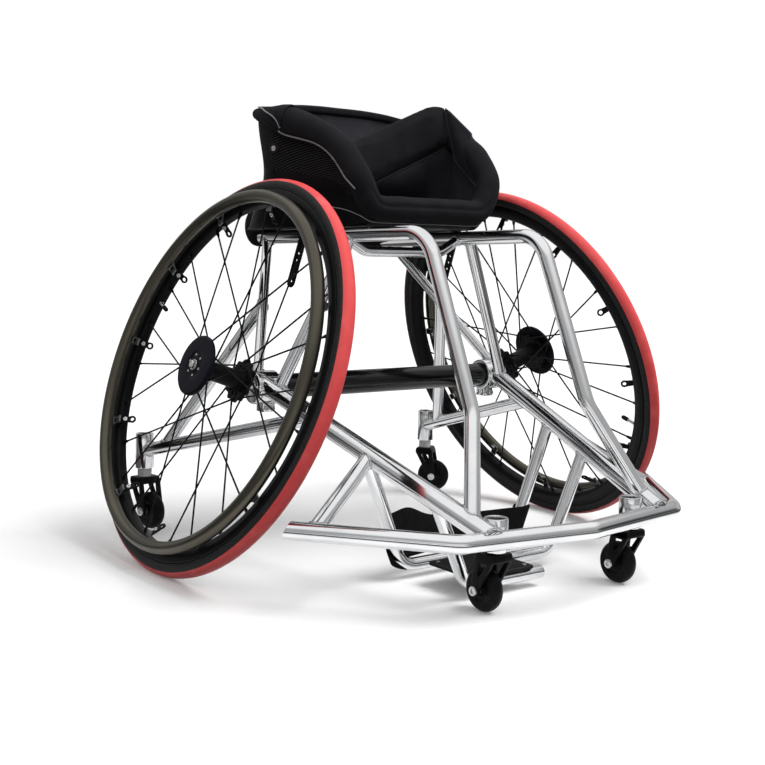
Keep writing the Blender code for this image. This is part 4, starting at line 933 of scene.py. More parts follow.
# Lower end, upper end and collar of the barrels that the casters turn in.
BARRELS = {"caster": (0.085, 0.130, 0.002), "antitip": (0.105, 0.163, 0.013)}
DOWN_RUN = [Vector((0.2328, 0.0, 0.2709)), Vector((0.161, -0.4445, 0.113))]
RAIL_RUN = [Vector((0.127, 0.170, 0.488)), Vector((0.110, -0.2385, 0.499))]
KNEE = Vector((0.1115, -0.346, 0.256))


def along(run, share):
    return run[0].lerp(run[1], share)


def rail_at(y):
    return along(RAIL_RUN, (y - RAIL_RUN[0].y) / (RAIL_RUN[1].y - RAIL_RUN[0].y))


def down_at(y):
    return along(DOWN_RUN, (y - DOWN_RUN[0].y) / (DOWN_RUN[1].y - DOWN_RUN[0].y))


LEG_FOOT = along(DOWN_RUN, 0.93)
REAR_RUN = [along(RAIL_RUN, 0.035), Vector((0.2403, -0.004, 0.2755))]
MID_RUN = [along(RAIL_RUN, 0.585), along(DOWN_RUN, 0.085)]
ARM_RUN = [along(DOWN_RUN, 0.265), Vector((0.300, 0.252, 0.134))]
BRACE_RUN = [along(REAR_RUN, 0.50), along(ARM_RUN, 0.865)]
BUMPER_CORNER = Vector((0.204, -0.438, 0.107))
WING_END = Vector((0.347, -0.255, 0.107))
WING_RUN = [along(DOWN_RUN, 0.52), BUMPER_CORNER.lerp(WING_END, 0.845)]


def run_of(points, side):
    return [chair(mirrored(p, side)) for p in points]


def weld(run, radius, seat, seat_radius, bead):
    """A rippled bead where a round tube that starts at run[0] leaves the side of another."""
    start = run[0]
    way = (run[1] - run[0]).normalized()
    lie = (seat[1] - seat[0]).normalized()
    u = way.orthogonal().normalized()
    v = way.cross(u)
    count = 96
    ripples = max(8, round(2 * pi * radius / 0.0036))
    loop, radii = [], []
    for k in range(count):
        a = 2 * pi * k / count
        at = start - seat[0] + (u * cos(a) + v * sin(a)) * radius
        flat, step = at - lie * at.dot(lie), way - lie * way.dot(lie)
        lead = flat.dot(step) / step.length_squared
        reach = lead * lead - (flat.length_squared - seat_radius**2) / step.length_squared
        loop.append(seat[0] + at + way * (sqrt(max(0, reach)) - lead))
        radii.append(bead * (1 + 0.24 * cos(ripples * a)))
    return swept(loop, radii, 8, closed=True)


def camber_tube():
    """The gloss tube between the wheels, and the split clamps on its ends."""
    middle = chair((0, 0, CLAMP.z))
    lying = axes(middle, Vector((0, 0, -1)), Vector((0, 1, 0)), Vector((1, 0, 0)))
    reach = 0.2245
    tube = [(0.0165, -reach), (0.019, -reach), (0.019, reach), (0.0165, reach)]
    chunks = [(lathed(tube, 0.0008, lying, 64), "gloss")]
    piece("camber_bar", "chair", chunks, ["camber_tube"])
    for word, side in SIDES.items():
        origin = chair(mirrored(CLAMP, side))
        at = axes(origin, Vector((0, 0, -side)), Vector((0, 1, 0)), Vector((side, 0, 0)))
        collar = [
            (0.0192, -0.027), (0.0255, -0.027), (0.0255, 0.010), (0.0225, 0.013), (0, 0.013), (0, -0.011),
            (0.0192, -0.011),
        ]
        chunks = [(lathed(collar, 0.0016, at, 64), "aluminium")]
        low = CLAMP.z - CLAMP_RADIUS - 0.012
        for rear in (-1, 1):
            ys = sorted((rear * 0.001, rear * 0.010))
            xs = sorted((side * (CLAMP.x - 0.0243), side * (CLAMP.x - 0.0027)))
            ear = block(chair((xs[0], ys[0], low)), chair((xs[1], ys[1], CLAMP.z - 0.019)), 0.0016)
            chunks.append((ear, "aluminium"))
        for x in (-0.0185, -0.0085):
            bolt_at = chair((side * (CLAMP.x + x), -0.010, low + 0.0062))
            facing = axes(bolt_at, Vector((1, 0, 0)), Vector((0, 0, 1)), Vector((0, -1, 0)))
            chunks += screws(0.0038, 0.0040, facing)
        piece(f"{word}_clamp", "chair", chunks, [f"{word}_axle_clamp"])


def frame_tubes(sizes):
    """Seat rails with their front legs, down tubes, struts and the seat crossbar."""
    bead = sizes.bead
    for word, side in SIDES.items():
        rail = rounded([*RAIL_RUN, KNEE, LEG_FOOT], [0.055, 0.060])
        down = run_of(DOWN_RUN, side)
        leg = run_of([LEG_FOOT, KNEE], side)
        chunks = [(swept(run_of(rail, side), sizes.side, 32), "aluminium")]
        chunks.append((weld(leg, sizes.side, down, sizes.down, bead), "weld"))
        piece(f"{word}_rail_and_leg", "chair", chunks, [f"{word}_side_tube"])
        chunks = [(swept(down, sizes.down, 36), "aluminium")]
        piece(f"{word}_long_tube", "chair", chunks, [f"{word}_down_tube"])
        rails = run_of(RAIL_RUN, side)
        axle_line = [chair(mirrored(CLAMP, side)), chair((0, 0, CLAMP.z))]
        for name, run, radius, foot, foot_radius in (
            ("rear_strut", REAR_RUN, REAR_STRUT, axle_line, CLAMP_RADIUS),
            ("mid_strut", MID_RUN, MID_STRUT, down, sizes.down),
        ):
            route = run_of(run, side)
            chunks = [(swept(route, radius, 28), "aluminium")]
            chunks.append((weld(route, radius, rails, sizes.side, bead), "weld"))
            chunks.append((weld(route[::-1], radius, foot, foot_radius, bead), "weld"))
            piece(f"{word}_{name}_tube", "chair", chunks, [f"{word}_{name}"])
    end = rail_at(CROSSBAR_Y)
    flat = Vector((0.075, CROSSBAR_Y, end.z - 0.024))
    bar = rounded([mirrored(end, -1), mirrored(flat, -1), flat, end], [0.030, 0.030])
    chunks = [(swept(run_of(bar, 1), CROSSBAR, 24), "aluminium")]
    for side in SIDES.values():
        run = run_of([end, flat], side)
        chunks.append((weld(run, CROSSBAR, run_of(RAIL_RUN, side), sizes.side, bead), "weld"))
    piece("crossbar_tube", "chair", chunks, ["seat_crossbar"])


def slanted(mesh, end, way, slope):
    """Cut a bar's end at a slant, so that its lower side reaches further than its upper side."""
    for v in mesh.vertices:
        if (v.co - end).dot(way) > -0.001 and (v.co - end).length < 0.05:
            v.co += way * ((end.z - v.co.z) * slope)


def bumper(sizes):
    """The bumper bar with its wings and the struts that hold them."""
    middle = Vector((0, -0.469, BUMPER_CORNER.z))
    points = [mirrored(WING_END, -1), mirrored(BUMPER_CORNER, -1), middle, BUMPER_CORNER, WING_END]
    route = rounded(points, [BUMPER_BEND] * 3)
    bar = swept(run_of(route, 1), sizes.bumper, 36, dome=0.12)
    chunks = [(bar, "aluminium")]
    for side in SIDES.values():
        strut = run_of(WING_RUN, side)
        wing = run_of([BUMPER_CORNER, WING_END], side)
        slanted(bar, wing[1], (wing[1] - wing[0]).normalized(), 0.45)
        chunks.append((swept(strut, WING_STRUT, 32), "aluminium"))
        chunks.append((weld(strut, WING_STRUT, run_of(DOWN_RUN, side), sizes.down, sizes.bead), "weld"))
        chunks.append((weld(strut[::-1], WING_STRUT, wing, sizes.bumper, sizes.bead), "weld"))
        foot = run_of(DOWN_RUN[::-1], side)
        front = run_of([middle, BUMPER_CORNER], side)
        chunks.append((weld(foot, sizes.down, front, sizes.bumper, sizes.bead), "weld"))
    piece("bumper_wing_bar", "chair", chunks, ["bumper_bar"])


def antitip_arms(sizes):
    """The rear arms with their caster barrels, and the braces above them."""
    for word, side in SIDES.items():
        arm = run_of(ARM_RUN, side)
        barrel_at = Matrix.Translation((arm[1].x, arm[1].y, 0))
        low, high = BARRELS["antitip"][:2]
        barrel = [
            (0.0066, low), (ARM_BARREL, low), (ARM_BARREL, high), (0.0108, high), (0.0108, 0.157),
            (0.0066, 0.157),
        ]
        line = [arm[1], arm[1] + Vector((0, 0, 0.1))]
        chunks = [
            (swept(arm, sizes.side, 32), "aluminium"),
            (lathed(barrel, 0.0012, barrel_at, 48), "aluminium"),
            (weld(arm, sizes.side, run_of(DOWN_RUN, side), sizes.down, sizes.bead), "weld"),
            (weld(arm[::-1], sizes.side, line, ARM_BARREL, sizes.bead), "weld"),
        ]
        cap = [(0, 0.157), (0.0106, 0.157), (0.0106, 0.1612), (0.0090, 0.1622), (0, 0.1626)]
        chunks.append((lathed(cap, 0.0005, barrel_at, 40), "moulding"))
        piece(f"{word}_rear_arm", "chair", chunks, [f"{word}_antitip_arm"])
        brace = run_of(BRACE_RUN, side)
        chunks = [
            (swept(brace, BRACE, 28), "aluminium"),
            (weld(brace, BRACE, run_of(REAR_RUN, side), REAR_STRUT, sizes.bead), "weld"),
            (weld(brace[::-1], BRACE, arm, sizes.side, sizes.bead), "weld"),
        ]
        piece(f"{word}_rear_brace", "chair", chunks, [f"{word}_antitip_brace"])


FOOT_Y = {("front", -1): -0.350, ("front", 1): -0.272, ("rear", -1): -0.220, ("rear", 1): -0.180}
FOOT_SPREAD = {"front": 0.118, "rear": 0.127}
FOOT_END = {"front": 0.024, "rear": 0.020}
FOOT_LEVEL = 0.020


def leg_at(side, z):
    """A point on a rear footrest tube's upright."""
    y = FOOT_Y["rear", side]
    top, low = mirrored(down_at(y), side), Vector((FOOT_SPREAD["rear"] * side, y, FOOT_LEVEL))
    return low.lerp(top, (z - low.z) / (top.z - low.z))


def foot_tubes(sizes):
    """Four bent tubes that drop from the down tubes and turn inward under the feet."""
    for (key, side), y in FOOT_Y.items():
        word = "left" if side > 0 else "right"
        top = mirrored(down_at(y), side)
        corner = Vector((FOOT_SPREAD[key] * side, y, FOOT_LEVEL))
        end = Vector((-side * FOOT_END[key], y, FOOT_LEVEL))
        route = [chair(p) for p in rounded([top, corner, end], [0.035])]
        plug_way = Vector((-side, 0, 0))
        tip = route[-1]
        plug = axes(tip, Vector((0, 1, 0)), plug_way.cross(Vector((0, 1, 0))), plug_way)
        cap = [(0, -0.002), (0.0068, -0.002), (0.0068, 0.0004), (0.0060, 0.0009), (0, 0.0011)]
        chunks = [
            (swept(route, sizes.foot, 28, dome=0.06), "aluminium"),
            (weld(route, sizes.foot, run_of(DOWN_RUN, side), sizes.down, sizes.bead), "weld"),
            (lathed(cap, 0.0003, plug, 32), "moulding"),
        ]
        piece(f"{word}_{key}_foot_bar", "chair", chunks, [f"{word}_{key}_foot_tube"])


def footplate():
    """The grip plate over the front bars."""
    low, high = (-0.114, -0.362), (0.004, -0.260)
    outline = [(low[0], low[1]), (high[0], low[1]), (high[0], high[1]), (low[0], high[1])]
    at = Matrix.Translation(chair((0, 0, 0.0318)))
    chunks = [(plate([softened(outline, 0.012, 6)], 0.004, 0.0009, at), "moulding")]
    for k in range(15):
        y = low[1] + 0.009 + (high[1] - low[1] - 0.018) * k / 14
        shift = 0.0022 * (k % 2)
        row = [chair((low[0] + 0.008 + shift, y, 0.0339)), chair((high[0] - 0.008 + shift, y, 0.0339))]
        chunks.append((stitches(row, 0.0044, 0.0012, "moulding"), "moulding"))
    for side in SIDES.values():
        for x in (low[0] + 0.012, high[0] - 0.012):
            at = Matrix.Translation(chair((x, FOOT_Y["front", side], 0.0337)))
            chunks += screws(0.0034, 0.0016, at)
    piece("foot_plate", "chair", chunks, ["footplate"])


def heel_strap():
    """A cloth band wrapped round both rear footrest tubes and slack between them."""
    rows = []
    spread = 0.0125
    levels, wraps, steps = 12, 14, 40
    for j in range(levels + 1):
        up = j / levels
        right, left = leg_at(-1, 0.026 + 0.068 * up), leg_at(1, 0.032 + 0.040 * up)
        row = []
        around = radians(100 + 200 * max(0, 1 - 2.2 * up))
        for k in range(wraps + 1):
            a = around + (radians(70) - around) * k / wraps
            sag = Vector((0, 0, -0.010 * (1 - k / wraps) * (1 - up)))
            row.append(right + Vector((cos(a) * spread, sin(a) * spread, 0)) + sag)
        start, end = row[-1], left + Vector((0, -spread, 0))
        for k in range(1, steps):
            share = k / steps
            slack = sin(pi * share) ** 2
            fold = 0.004 * sin(5 * pi * share) * sin(pi * up) * slack
            hump = 0.012 * up * np.exp(-(((share - 0.16) / 0.10) ** 2)) - 0.006 * slack * up
            row.append(start.lerp(end, share) + Vector((0, slack * 0.010 + fold, hump)))
        for k in range(wraps + 1):
            a = radians(270 + 230 * k / wraps)
            row.append(left + Vector((cos(a) * spread, sin(a) * spread, 0)))
        rows.append([chair(p) for p in row])
    sheet = skinned(rows, around=False)
    made = piece("heel_band", "chair", [(sheet, "webbing")], ["heel_strap"], 80)
    thick = made.modifiers.new("cloth", "SOLIDIFY")
    thick.thickness = 0.0024
    thick.offset = 0
    smoothed(made)


def caster(name, barrel_low, barrel_high, collar):
    """A swivel fork with its wheel and bolt."""
    pivot = Vector(JOINTS[f"{name}_turn"]["pos_m"])
    centre = Vector(JOINTS[f"{name}_roll"]["pos_m"])
    pivot.z = 0
    back = Vector((centre.x - pivot.x, centre.y - pivot.y, 0))
    trail = back.length
    back.normalize()
    up = Vector((0, 0, 1))
    across = back.cross(up)
    side_on = axes(pivot, back, up, across)
    inside, arm = 0.0136, 0.0054
    outside = inside + arm
    crown_top = barrel_low - collar - GAP
    crown_low = crown_top - 0.011
    crown = [(-0.015, crown_low), (0.0195, crown_low), (0.0150, crown_top), (-0.0135, crown_top)]
    eye = circle(0.0085, (trail, centre.z), 13, radians(-190), radians(10))
    shoulder = crown_top - 0.003
    outline = [(-0.0145, shoulder)] + [(-0.0132, crown_low)] + eye + [(0.0185, crown_low), (0.0165, shoulder)]
    middle = (crown_low + centre.z) / 2
    head, sill = crown_low - 0.002, middle + 0.001
    window = [(-0.004, head), (0.0105, head), (0.0130, sill), (0.0075, sill)]
    chunks = [(plate([softened(crown, 0.003)], 2 * outside, 0.0012, side_on), "satin")]
    for sign in (-1, 1):
        at = side_on @ Matrix.Translation((0, 0, sign * (inside + arm / 2)))
        cheek = [softened(outline, 0.0015), softened(window, 0.0018)]
        chunks.append((plate(cheek, arm, 0.0009, at), "satin"))
    stand = Matrix.Translation(pivot)
    top = barrel_high - 0.0066
    stem = [(0, crown_top - 0.004), (0.006, crown_top - 0.004), (0.006, top), (0, top)]
    neck = barrel_low - GAP
    ring = [(0, shoulder), (0.0115, shoulder), (0.0115, neck), (0, neck)]
    chunks.append((lathed(stem, 0.0005, stand, 32), "steel"))
    chunks.append((lathed(ring, 0.0008, stand, 40), "bush" if collar > 0.01 else "satin"))
    piece(f"{name}_fork_body", f"{name}_swivel", chunks, [f"{name}_fork"])

    at = axes(centre, back, up, across)
    tread = circle(0.012, (0.0185, 0), 17, radians(-62), radians(62))
    lower = [
        (0.0044, -0.0126), (0.0077, -0.0126), (0.0082, -0.0092), (0.0128, -0.0086), (0.0165, -0.0100),
        (0.0215, -0.0106),
    ]
    wheel = lower + tread + [(r, -z) for r, z in lower[::-1]]
    bearing = [(0.0044, 0.0118), (0.0072, 0.0118), (0.0072, 0.0129), (0.0044, 0.0129)]
    chunks = [(lathed(wheel, 0.0006, at, 72), "tyre_dark")]
    chunks += [
        (lathed([(r, s * z) for r, z in bearing], 0.0002, at, 32), "steel") for s in (-1, 1)
    ]
    piece(f"{name}_roller_wheel", f"{name}_roller", chunks, [f"{name}_wheel"], 45)

    rod = [(0, -outside), (0.004, -outside), (0.004, outside), (0, outside)]
    chunks = [(turned(rod, at, 24), "steel")]
    for turn in (0, pi):
        head_at = at @ Matrix.Rotation(turn, 4, "X") @ Matrix.Translation((0, 0, outside + GAP))
        chunks += screws(0.0065, 0.0030, head_at)
    piece(f"{name}_bolt", f"{name}_swivel", chunks, [f"{name}_axle_bolt"])


def caster_barrel(word):
    """The short polished barrel that a front caster turns in, with a plug in its top."""
    pivot = Vector(JOINTS[f"{word}_caster_turn"]["pos_m"])
    at = Matrix.Translation((pivot.x, pivot.y, 0))
    low, high = BARRELS["caster"][:2]
    profile = [(0.0064, low), (0.016, low), (0.016, high), (0.0125, high), (0.0125, 0.124), (0.0064, 0.124)]
    plug = [(0, 0.1242), (0.0118, 0.1242), (0.0118, 0.1262), (0.0080, 0.1272), (0, 0.1264)]
    chunks = [
        (lathed(profile, 0.0012, at, 56), "aluminium"),
        (lathed(plug, 0.0005, at, 40), "moulding"),
    ]
    piece(f"{word}_caster_head", "chair", chunks, [f"{word}_caster_barrel"])


RIM_HALF = [
    (0, -0.107, 0.534, 0.019), (0.052, -0.107, 0.534, 0.019), (0.104, -0.104, 0.538, 0.019),
    (0.128, -0.0975, 0.580, 0.019), (0.135, -0.064, 0.620, 0.019), (0.143, -0.025, 0.643, 0.019),
    (0.164, 0.030, 0.6625, 0.024), (0.181, 0.064, 0.671, 0.014), (0.168, 0.118, 0.683, 0.008),
    (0.084, 0.138, 0.697, 0.008), (0, 0.138, 0.699, 0.008),
]
PAN_HALF = [
    (0, -0.098), (0.050, -0.098), (0.100, -0.093), (0.108, -0.080), (0.114, -0.060), (0.121, -0.030),
    (0.151, 0.018), (0.167, 0.108), (0.158, 0.166), (0.086, 0.180), (0, 0.185),
]
LOOP_STEPS = 10


def smooth_loop(half):
    """A closed smooth curve through a half loop and its mirror image."""
    points = half + [(-p[0], *p[1:]) for p in half[-2:0:-1]]
    points = np.array(points, float)
    made = []
    for i in range(len(points)):
        p, q, r, s = (points[(i + k) % len(points)] for k in (-1, 0, 1, 2))
        for j in range(LOOP_STEPS):
            t = j / LOOP_STEPS
            made.append(q + 0.5 * t * (r - p + t * (2 * p - 5 * q + 4 * r - s + t * (3 * (q - r) + s - p))))
    return np.array(made)


def bucket_loops():
    """The rim's middle line with its pad radii, and the pan's outline."""
    return smooth_loop(RIM_HALF), smooth_loop(PAN_HALF)


def bucket_row(top, pan, t):
    """One closed row of the bucket's wall: t is 0 at the rim and 1 at the pan."""
    rear = np.maximum(0, (top[:, 1] - 0.030) / 0.108)
    waist = 0.030 * rear * sin(pi * min(1, t / 0.8)) ** 2
    floor = np.array([rail_at(y).z + 0.0117 for y in pan[:, 1]])
    x = top[:, 0] + (pan[:, 0] - top[:, 0]) * t**2.4
    y = top[:, 1] + (pan[:, 1] - top[:, 1]) * t**2.4 - waist
    z = top[:, 2] + (floor - top[:, 2]) * (1 - (1 - t) ** 1.5)
    return np.stack([x, y + AXLE_Y, z], 1)


def bucket(sizes):
    """The bucket shell: ribbed cloth above, a smooth panel below, knit lining inside, lightened as painted
    light on the shaded inside.
    """
    top, pan = bucket_loops()
    split, ribs = 0.34, 10
    shares = [split * k / ribs for k in range(ribs)] + [split + (1 - split) * k / 16 for k in range(17)]
    rows = [bucket_row(top, pan, t) for t in shares]
    middle = rows[-1].mean(0)
    rows += [rows[-1] + (middle - rows[-1]) * share for share in (0.12, 0.4, 0.7, 0.97)]
    chunks = [(skinned(rows, last=True), "satin")]
    made = piece("bucket_shell", "chair", chunks, ["seat_shell"], 60)
    # The inside faces take the lining's lightened cloth, painted light.
    for look in ("ribs", "lining", "lining"):
        made.data.materials.append(LOOKS[look].material)
    for face in made.data.polygons:
        face.material_index = 1 if min(face.vertices) // len(top) < ribs else 0
    spread_weave(made.data, rows)
    wall = made.modifiers.new("wall", "SOLIDIFY")
    wall.thickness = 0.004
    wall.offset = -1
    wall.material_offset = 2
    edge = [tuple(p) for p in bucket_row(top, pan, 0.63)]
    lines = [(swept(edge, sizes.piping * 0.6, 8, closed=True), "piping")]
    for side in SIDES.values():
        lines += wall_button(top, pan, 68 * side % len(top), 0.19)
    piece("bucket_trim", "chair", lines, (), 60)
    tail_bolster()


def spread_weave(mesh, rows):
    """Lay a UV map over a skin of closed rows, in metres round the first row and down from it."""
    count = len(rows[0])
    steps = np.linalg.norm(np.roll(rows[0], -1, 0) - rows[0], axis=1)
    along = np.concatenate([[0], np.cumsum(steps)])
    drops = [np.linalg.norm(b - a, axis=1).mean() for a, b in zip(rows, rows[1:])]
    down = np.concatenate([[0], np.cumsum(drops)])
    weave = mesh.uv_layers.new(name=WEAVE)
    for face in mesh.polygons:
        closing = {0, count - 1} <= {v % count for v in face.vertices}
        for corner, vertex in zip(face.loop_indices, face.vertices):
            row, i = divmod(vertex, count)
            weave.data[corner].uv = (along[count if closing and i == 0 else i], down[row])


def wall_button(top, pan, i, t):
    """A round black button with a bright middle, on the outside of the bucket's wall."""
    grid = [bucket_row(top, pan, t + step) for step in (-0.02, 0, 0.02)]
    place = Vector(grid[1][i])
    down = Vector(grid[2][i] - grid[0][i]).normalized()
    ahead = Vector(grid[1][(i + 1) % len(top)] - grid[1][i - 1]).normalized()
    out = down.cross(ahead).normalized()
    if out.x * place.x < 0:
        out = -out
    at = axes(place, ahead, out.cross(ahead), out)
    washer = [(0, -0.002), (0.0085, -0.002), (0.0085, 0.0008), (0.0066, 0.0022), (0, 0.0022)]
    chunks = [(lathed(washer, 0.0006, at, 32), "moulding")]
    middle = at @ Matrix.Translation((0, 0, 0.0020))
    return chunks + screws(0.0040, 0.0014, middle)


def tail_bolster():
    """The pad behind the pan: slim in the middle, with a full lobe towards each end."""
    rows = []
    half = 0.1460
    for x in np.linspace(-half, half, 73):
        lobe = 1 / (1 + np.exp(-(abs(x) - 0.088) / 0.0045))
        end = sqrt(max(0.0, 1 - max(0.0, (abs(x) - half + 0.022) / 0.022) ** 2))
        high, deep = (0.009 + 0.024 * lobe) * max(end, 0.05), (0.009 + 0.013 * lobe) * max(end, 0.05)
        middle = chair((x, 0.190, 0.497 + 0.0095 * lobe))
        turns = [2 * pi * k / 28 for k in range(28)]
        rows.append([middle + Vector((0, deep * cos(a), high * sin(a))) for a in turns])
    made = piece(
        "tail_bolster", "chair", [(skinned(rows, first=True, last=True), "knit")], (), 60
    )


def rim_frame(top, pan):
    """At each point of the rim: its place, the way outward and the way down the wall."""
    places = bucket_row(top, pan, 0.0)
    below = bucket_row(top, pan, 0.10)
    ahead = np.roll(places, -1, 0) - np.roll(places, 1, 0)
    ahead /= np.linalg.norm(ahead, axis=1)[:, None]
    down = below - places
    down -= ahead * (down * ahead).sum(1)[:, None]
    down /= np.linalg.norm(down, axis=1)[:, None]
    out = np.cross(ahead, down)
    away = places - np.array([0, AXLE_Y + 0.02, 0.0])
    away[:, 2] = 0
    flip = np.sign((out * away).sum(1))
    return places, out * flip[:, None], down


def padded_rim(sizes):
    """The padded roll round the bucket's edge, with piping and a stitched seam."""
    top, pan = bucket_loops()
    places, out, down = rim_frame(top, pan)
    radii = top[:, 3]
    rows = []
    sides = 44
    for i in range(len(places)):
        row = []
        for k in range(sides):
            a = 2 * pi * k / sides
            lump = noise.noise(Vector(places[i]) * 38 + Vector((cos(a), sin(a), 0)) * 0.8)
            lip = 1 / (1 + np.exp((top[i, 2] - 0.552) / 0.005))
            tuck = sum(
                depth * np.exp(-(((a - radians(angle)) / 0.17) ** 2))
                for angle, depth in ((52, 1 - lip), (128, 1 - lip), (348, 1.9 * lip))
            )
            r = radii[i] * (1 + 0.035 * lump - 0.10 * tuck)
            row.append(places[i] + out[i] * (r * cos(a)) + down[i] * (r * sin(a)))
        rows.append(row)

    def on_roll(i, a, lift=0.0):
        """A point on the roll's surface at an angle from outward, turning down the wall."""
        r = radii[i] + lift
        return Vector(places[i] + out[i] * (r * cos(a)) + down[i] * (r * sin(a)))

    count = len(top)
    chunks = [(skinned(rows, over=True), "knit")]
    seam = [on_roll(i, radians(200), 0.0002) for i in range(count)]
    trims = [(stitches(seam, 0.0045, 0.0005, "knit", True), "knit")]
    for side in SIDES.values():
        seam = [on_roll(i * side % count, radians(52)) for i in range(27, 64)]
        trims.append((swept(seam, sizes.piping, 10), "piping"))
        flap = []
        for k in range(16):
            i = (61 + k) * side % count
            edge = radians(26 - 7 * k)
            flap.append([on_roll(i, edge + (radians(-195) - edge) * n / 12, 0.0024) for n in range(13)])
        chunks.append((thickened(skinned(flap, around=False), 0.0022), "knit"))
        trims.append((swept([row[0] for row in flap], sizes.piping, 10), "piping"))
    made = piece("rim_roll", "chair", chunks, ["padded_rim"], 80)
    piece("rim_trim", "chair", trims, (), 60)


def plumped(mesh, voxel, cap):
    """Let a pad swell under its cover: a short cloth simulation with capped movement."""
    guide = placed("pad", mesh)
    step = guide.modifiers.new("even", "REMESH")
    step.mode = "VOXEL"
    step.voxel_size = voxel
    even = baked(guide)
    bpy.data.objects.remove(guide)
    guide = placed("pad", even)
    cloth = guide.modifiers.new("cloth", "CLOTH")
    cloth.settings.use_pressure = True
    cloth.settings.uniform_pressure_force = 4
    cloth.settings.effector_weights.gravity = 0
    scene = bpy.context.scene
    for number in range(1, 21):
        scene.frame_set(number)
    swollen = baked(guide)
    scene.frame_set(1)
    bpy.data.objects.remove(guide)
    for before, after in zip(even.vertices, swollen.vertices):
        move = after.co - before.co
        before.co += move * min(1, cap / max(move.length, 1e-9))
    return even


def seat_cushion():
    """A crowned cushion on the pan."""
    pan = bucket_loops()[1]
    outline = pan.copy()
    outline[:, 1] = np.minimum(outline[:, 1], 0.118)
    centre = np.array([0, 0.012])
    outline = centre + (outline - centre) * 0.85
    rows = []
    crown = (
        (0.5, 0.0), (0.94, 0.001), (0.985, 0.005), (1.0, 0.011), (0.985, 0.017), (0.93, 0.0215),
        (0.8, 0.0255), (0.55, 0.0300), (0.3, 0.0325), (0.05, 0.0335),
    )
    for share, height in crown:
        ring = centre + (outline - centre) * share
        rows.append([chair((x, y, rail_at(y).z + 0.0165 + height)) for x, y in ring])
    mesh = plumped(skinned(rows, first=True, last=True), 0.005, 0.004)
    made = piece("cushion", "chair", [(mesh, "knit")], ["seat_cushion"], 80)
    smoothed(made)


def pelvic_pad(sizes):
    """A bowed pad across the bucket that rises to the left, and the flap that closes its end."""
    half, high, thick = 0.134, sizes.pad_height / 2, sizes.pad_thickness / 2
    tilt = Matrix.Translation(chair((0.022, 0.034, 0.632))) @ Matrix.Rotation(radians(-24), 4, "Y")
    tilt = tilt @ Matrix.Rotation(radians(-10), 4, "X")

    def pad_point(u, a):
        """A point of the pad's skin: u runs along it from -1 to 1, a turns from its back to its top."""
        shrink = max(0.12, (1 - abs(u) ** 6) ** 0.5)
        c, s = cos(a), sin(a)
        y = thick * 0.86 * (abs(c) ** 0.7) * (1 if c > 0 else -1) * (0.35 + 0.65 * shrink)
        z = high * (abs(s) ** 0.6) * (1 if s > 0 else -1) * (0.45 + 0.55 * shrink)
        return tilt @ Vector((u * half, y - 0.020 * u * u, z))

    rows = [[pad_point(-1 + i / 20, 2 * pi * k / 36) for k in range(36)] for i in range(41)]
    mesh = plumped(skinned(rows, first=True, last=True), 0.005, 0.004)
    made = piece("hip_pad", "chair", [(mesh, "pad")], ["pelvic_pad"], 80)
    smoothed(made)
    edge = [pad_point(-0.96 + 1.92 * k / 40, radians(244)) for k in range(41)]
    corners = [(0.128, 0.012, 0.7065), (0.141, -0.037, 0.664), (0.124, -0.022, 0.620), (0.117, -0.088, 0.573)]
    tip, shoulder, inner, low = (chair(p) for p in corners)
    flap = []
    for i in range(13):
        v = i / 12
        ends = tip.lerp(inner, v), shoulder.lerp(low, v)
        swell = Vector((-0.007, -0.004, 0)) * sin(pi * v)
        flap.append([ends[0].lerp(ends[1], k / 8) + swell * sin(pi * k / 8) for k in range(9)])
    hem = flap[0] + [row[-1] for row in flap[1:-1]] + flap[-1][::-1] + [row[0] for row in flap[-2:0:-1]]
    # The hem takes the lining's lightened cloth, painted light.
    chunks = [
        (thickened(skinned(flap, around=False), 0.004), "knit"),
        (swept(edge, sizes.piping, 10), "pad"),
        (swept(hem, 0.0026, 10, closed=True), "lining"),
    ]
    piece("pad_flap", "chair", chunks, (), 60)


def tension_straps(sizes):
    """Two short straps with adjusting holes that hang beside the seat rails."""
    for word in SIDES:
        low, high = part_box(f"{word}_tension_strap")
        lean = radians(17)
        reach = (high.z - low.z) / cos(lean)
        width = sizes.strap
        outline = [(-width / 2, 0.006), (-width / 4, 0), (width / 4, 0), (width / 2, 0.006)]
        outline += [(width / 2, reach), (-width / 2, reach)]
        holes = [circle(0.0018, (0, 0.010 + 0.011 * k), 16) for k in range(5)]
        foot = Vector(((low.x + (width / 2) * cos(lean)), (low.y + high.y) / 2, low.z))
        across = Vector((cos(lean), 0, -sin(lean)))
        rising = Vector((sin(lean), 0, cos(lean)))
        at = axes(foot, across, rising, across.cross(rising))
        made = plate([softened(outline, 0.003, 4)] + holes, 0.003, 0.0006, at)
        edges = []
        for x in (-width / 2 + 0.0016, width / 2 - 0.0016):
            line = [at @ Vector((x, v, -0.0016)) for v in (0.003, reach - 0.003)]
            edges.append((stitches(line, 0.0036, 0.0004, "piping"), "webbing"))
        chunks = [(made, "webbing"), *edges]
        piece(f"{word}_strap", "chair", chunks, [f"{word}_tension_strap"])


class Making:
    """What the operators share: each can be undone."""

    bl_options = {"REGISTER", "UNDO"}


class WHEELCHAIR_OT_finishes(Making, bpy.types.Operator):
    """Make the chair's materials from the colours in the panel"""

    bl_idname = "wheelchair.finishes"
    bl_label = "Finishes"

    def execute(self, context):
        make_looks(context.scene.wheelchair_finishes)
        return {"FINISHED"}


class WHEELCHAIR_OT_tyres(Making, bpy.types.Operator):
    """Make both tyres and rims"""

    bl_idname = "wheelchair.tyres"
    bl_label = "Tyres and rims"

    def execute(self, context):
        for side in SIDES:
            tyre(side, context.scene.wheelchair_wheels)
            rim(side)
        return {"FINISHED"}


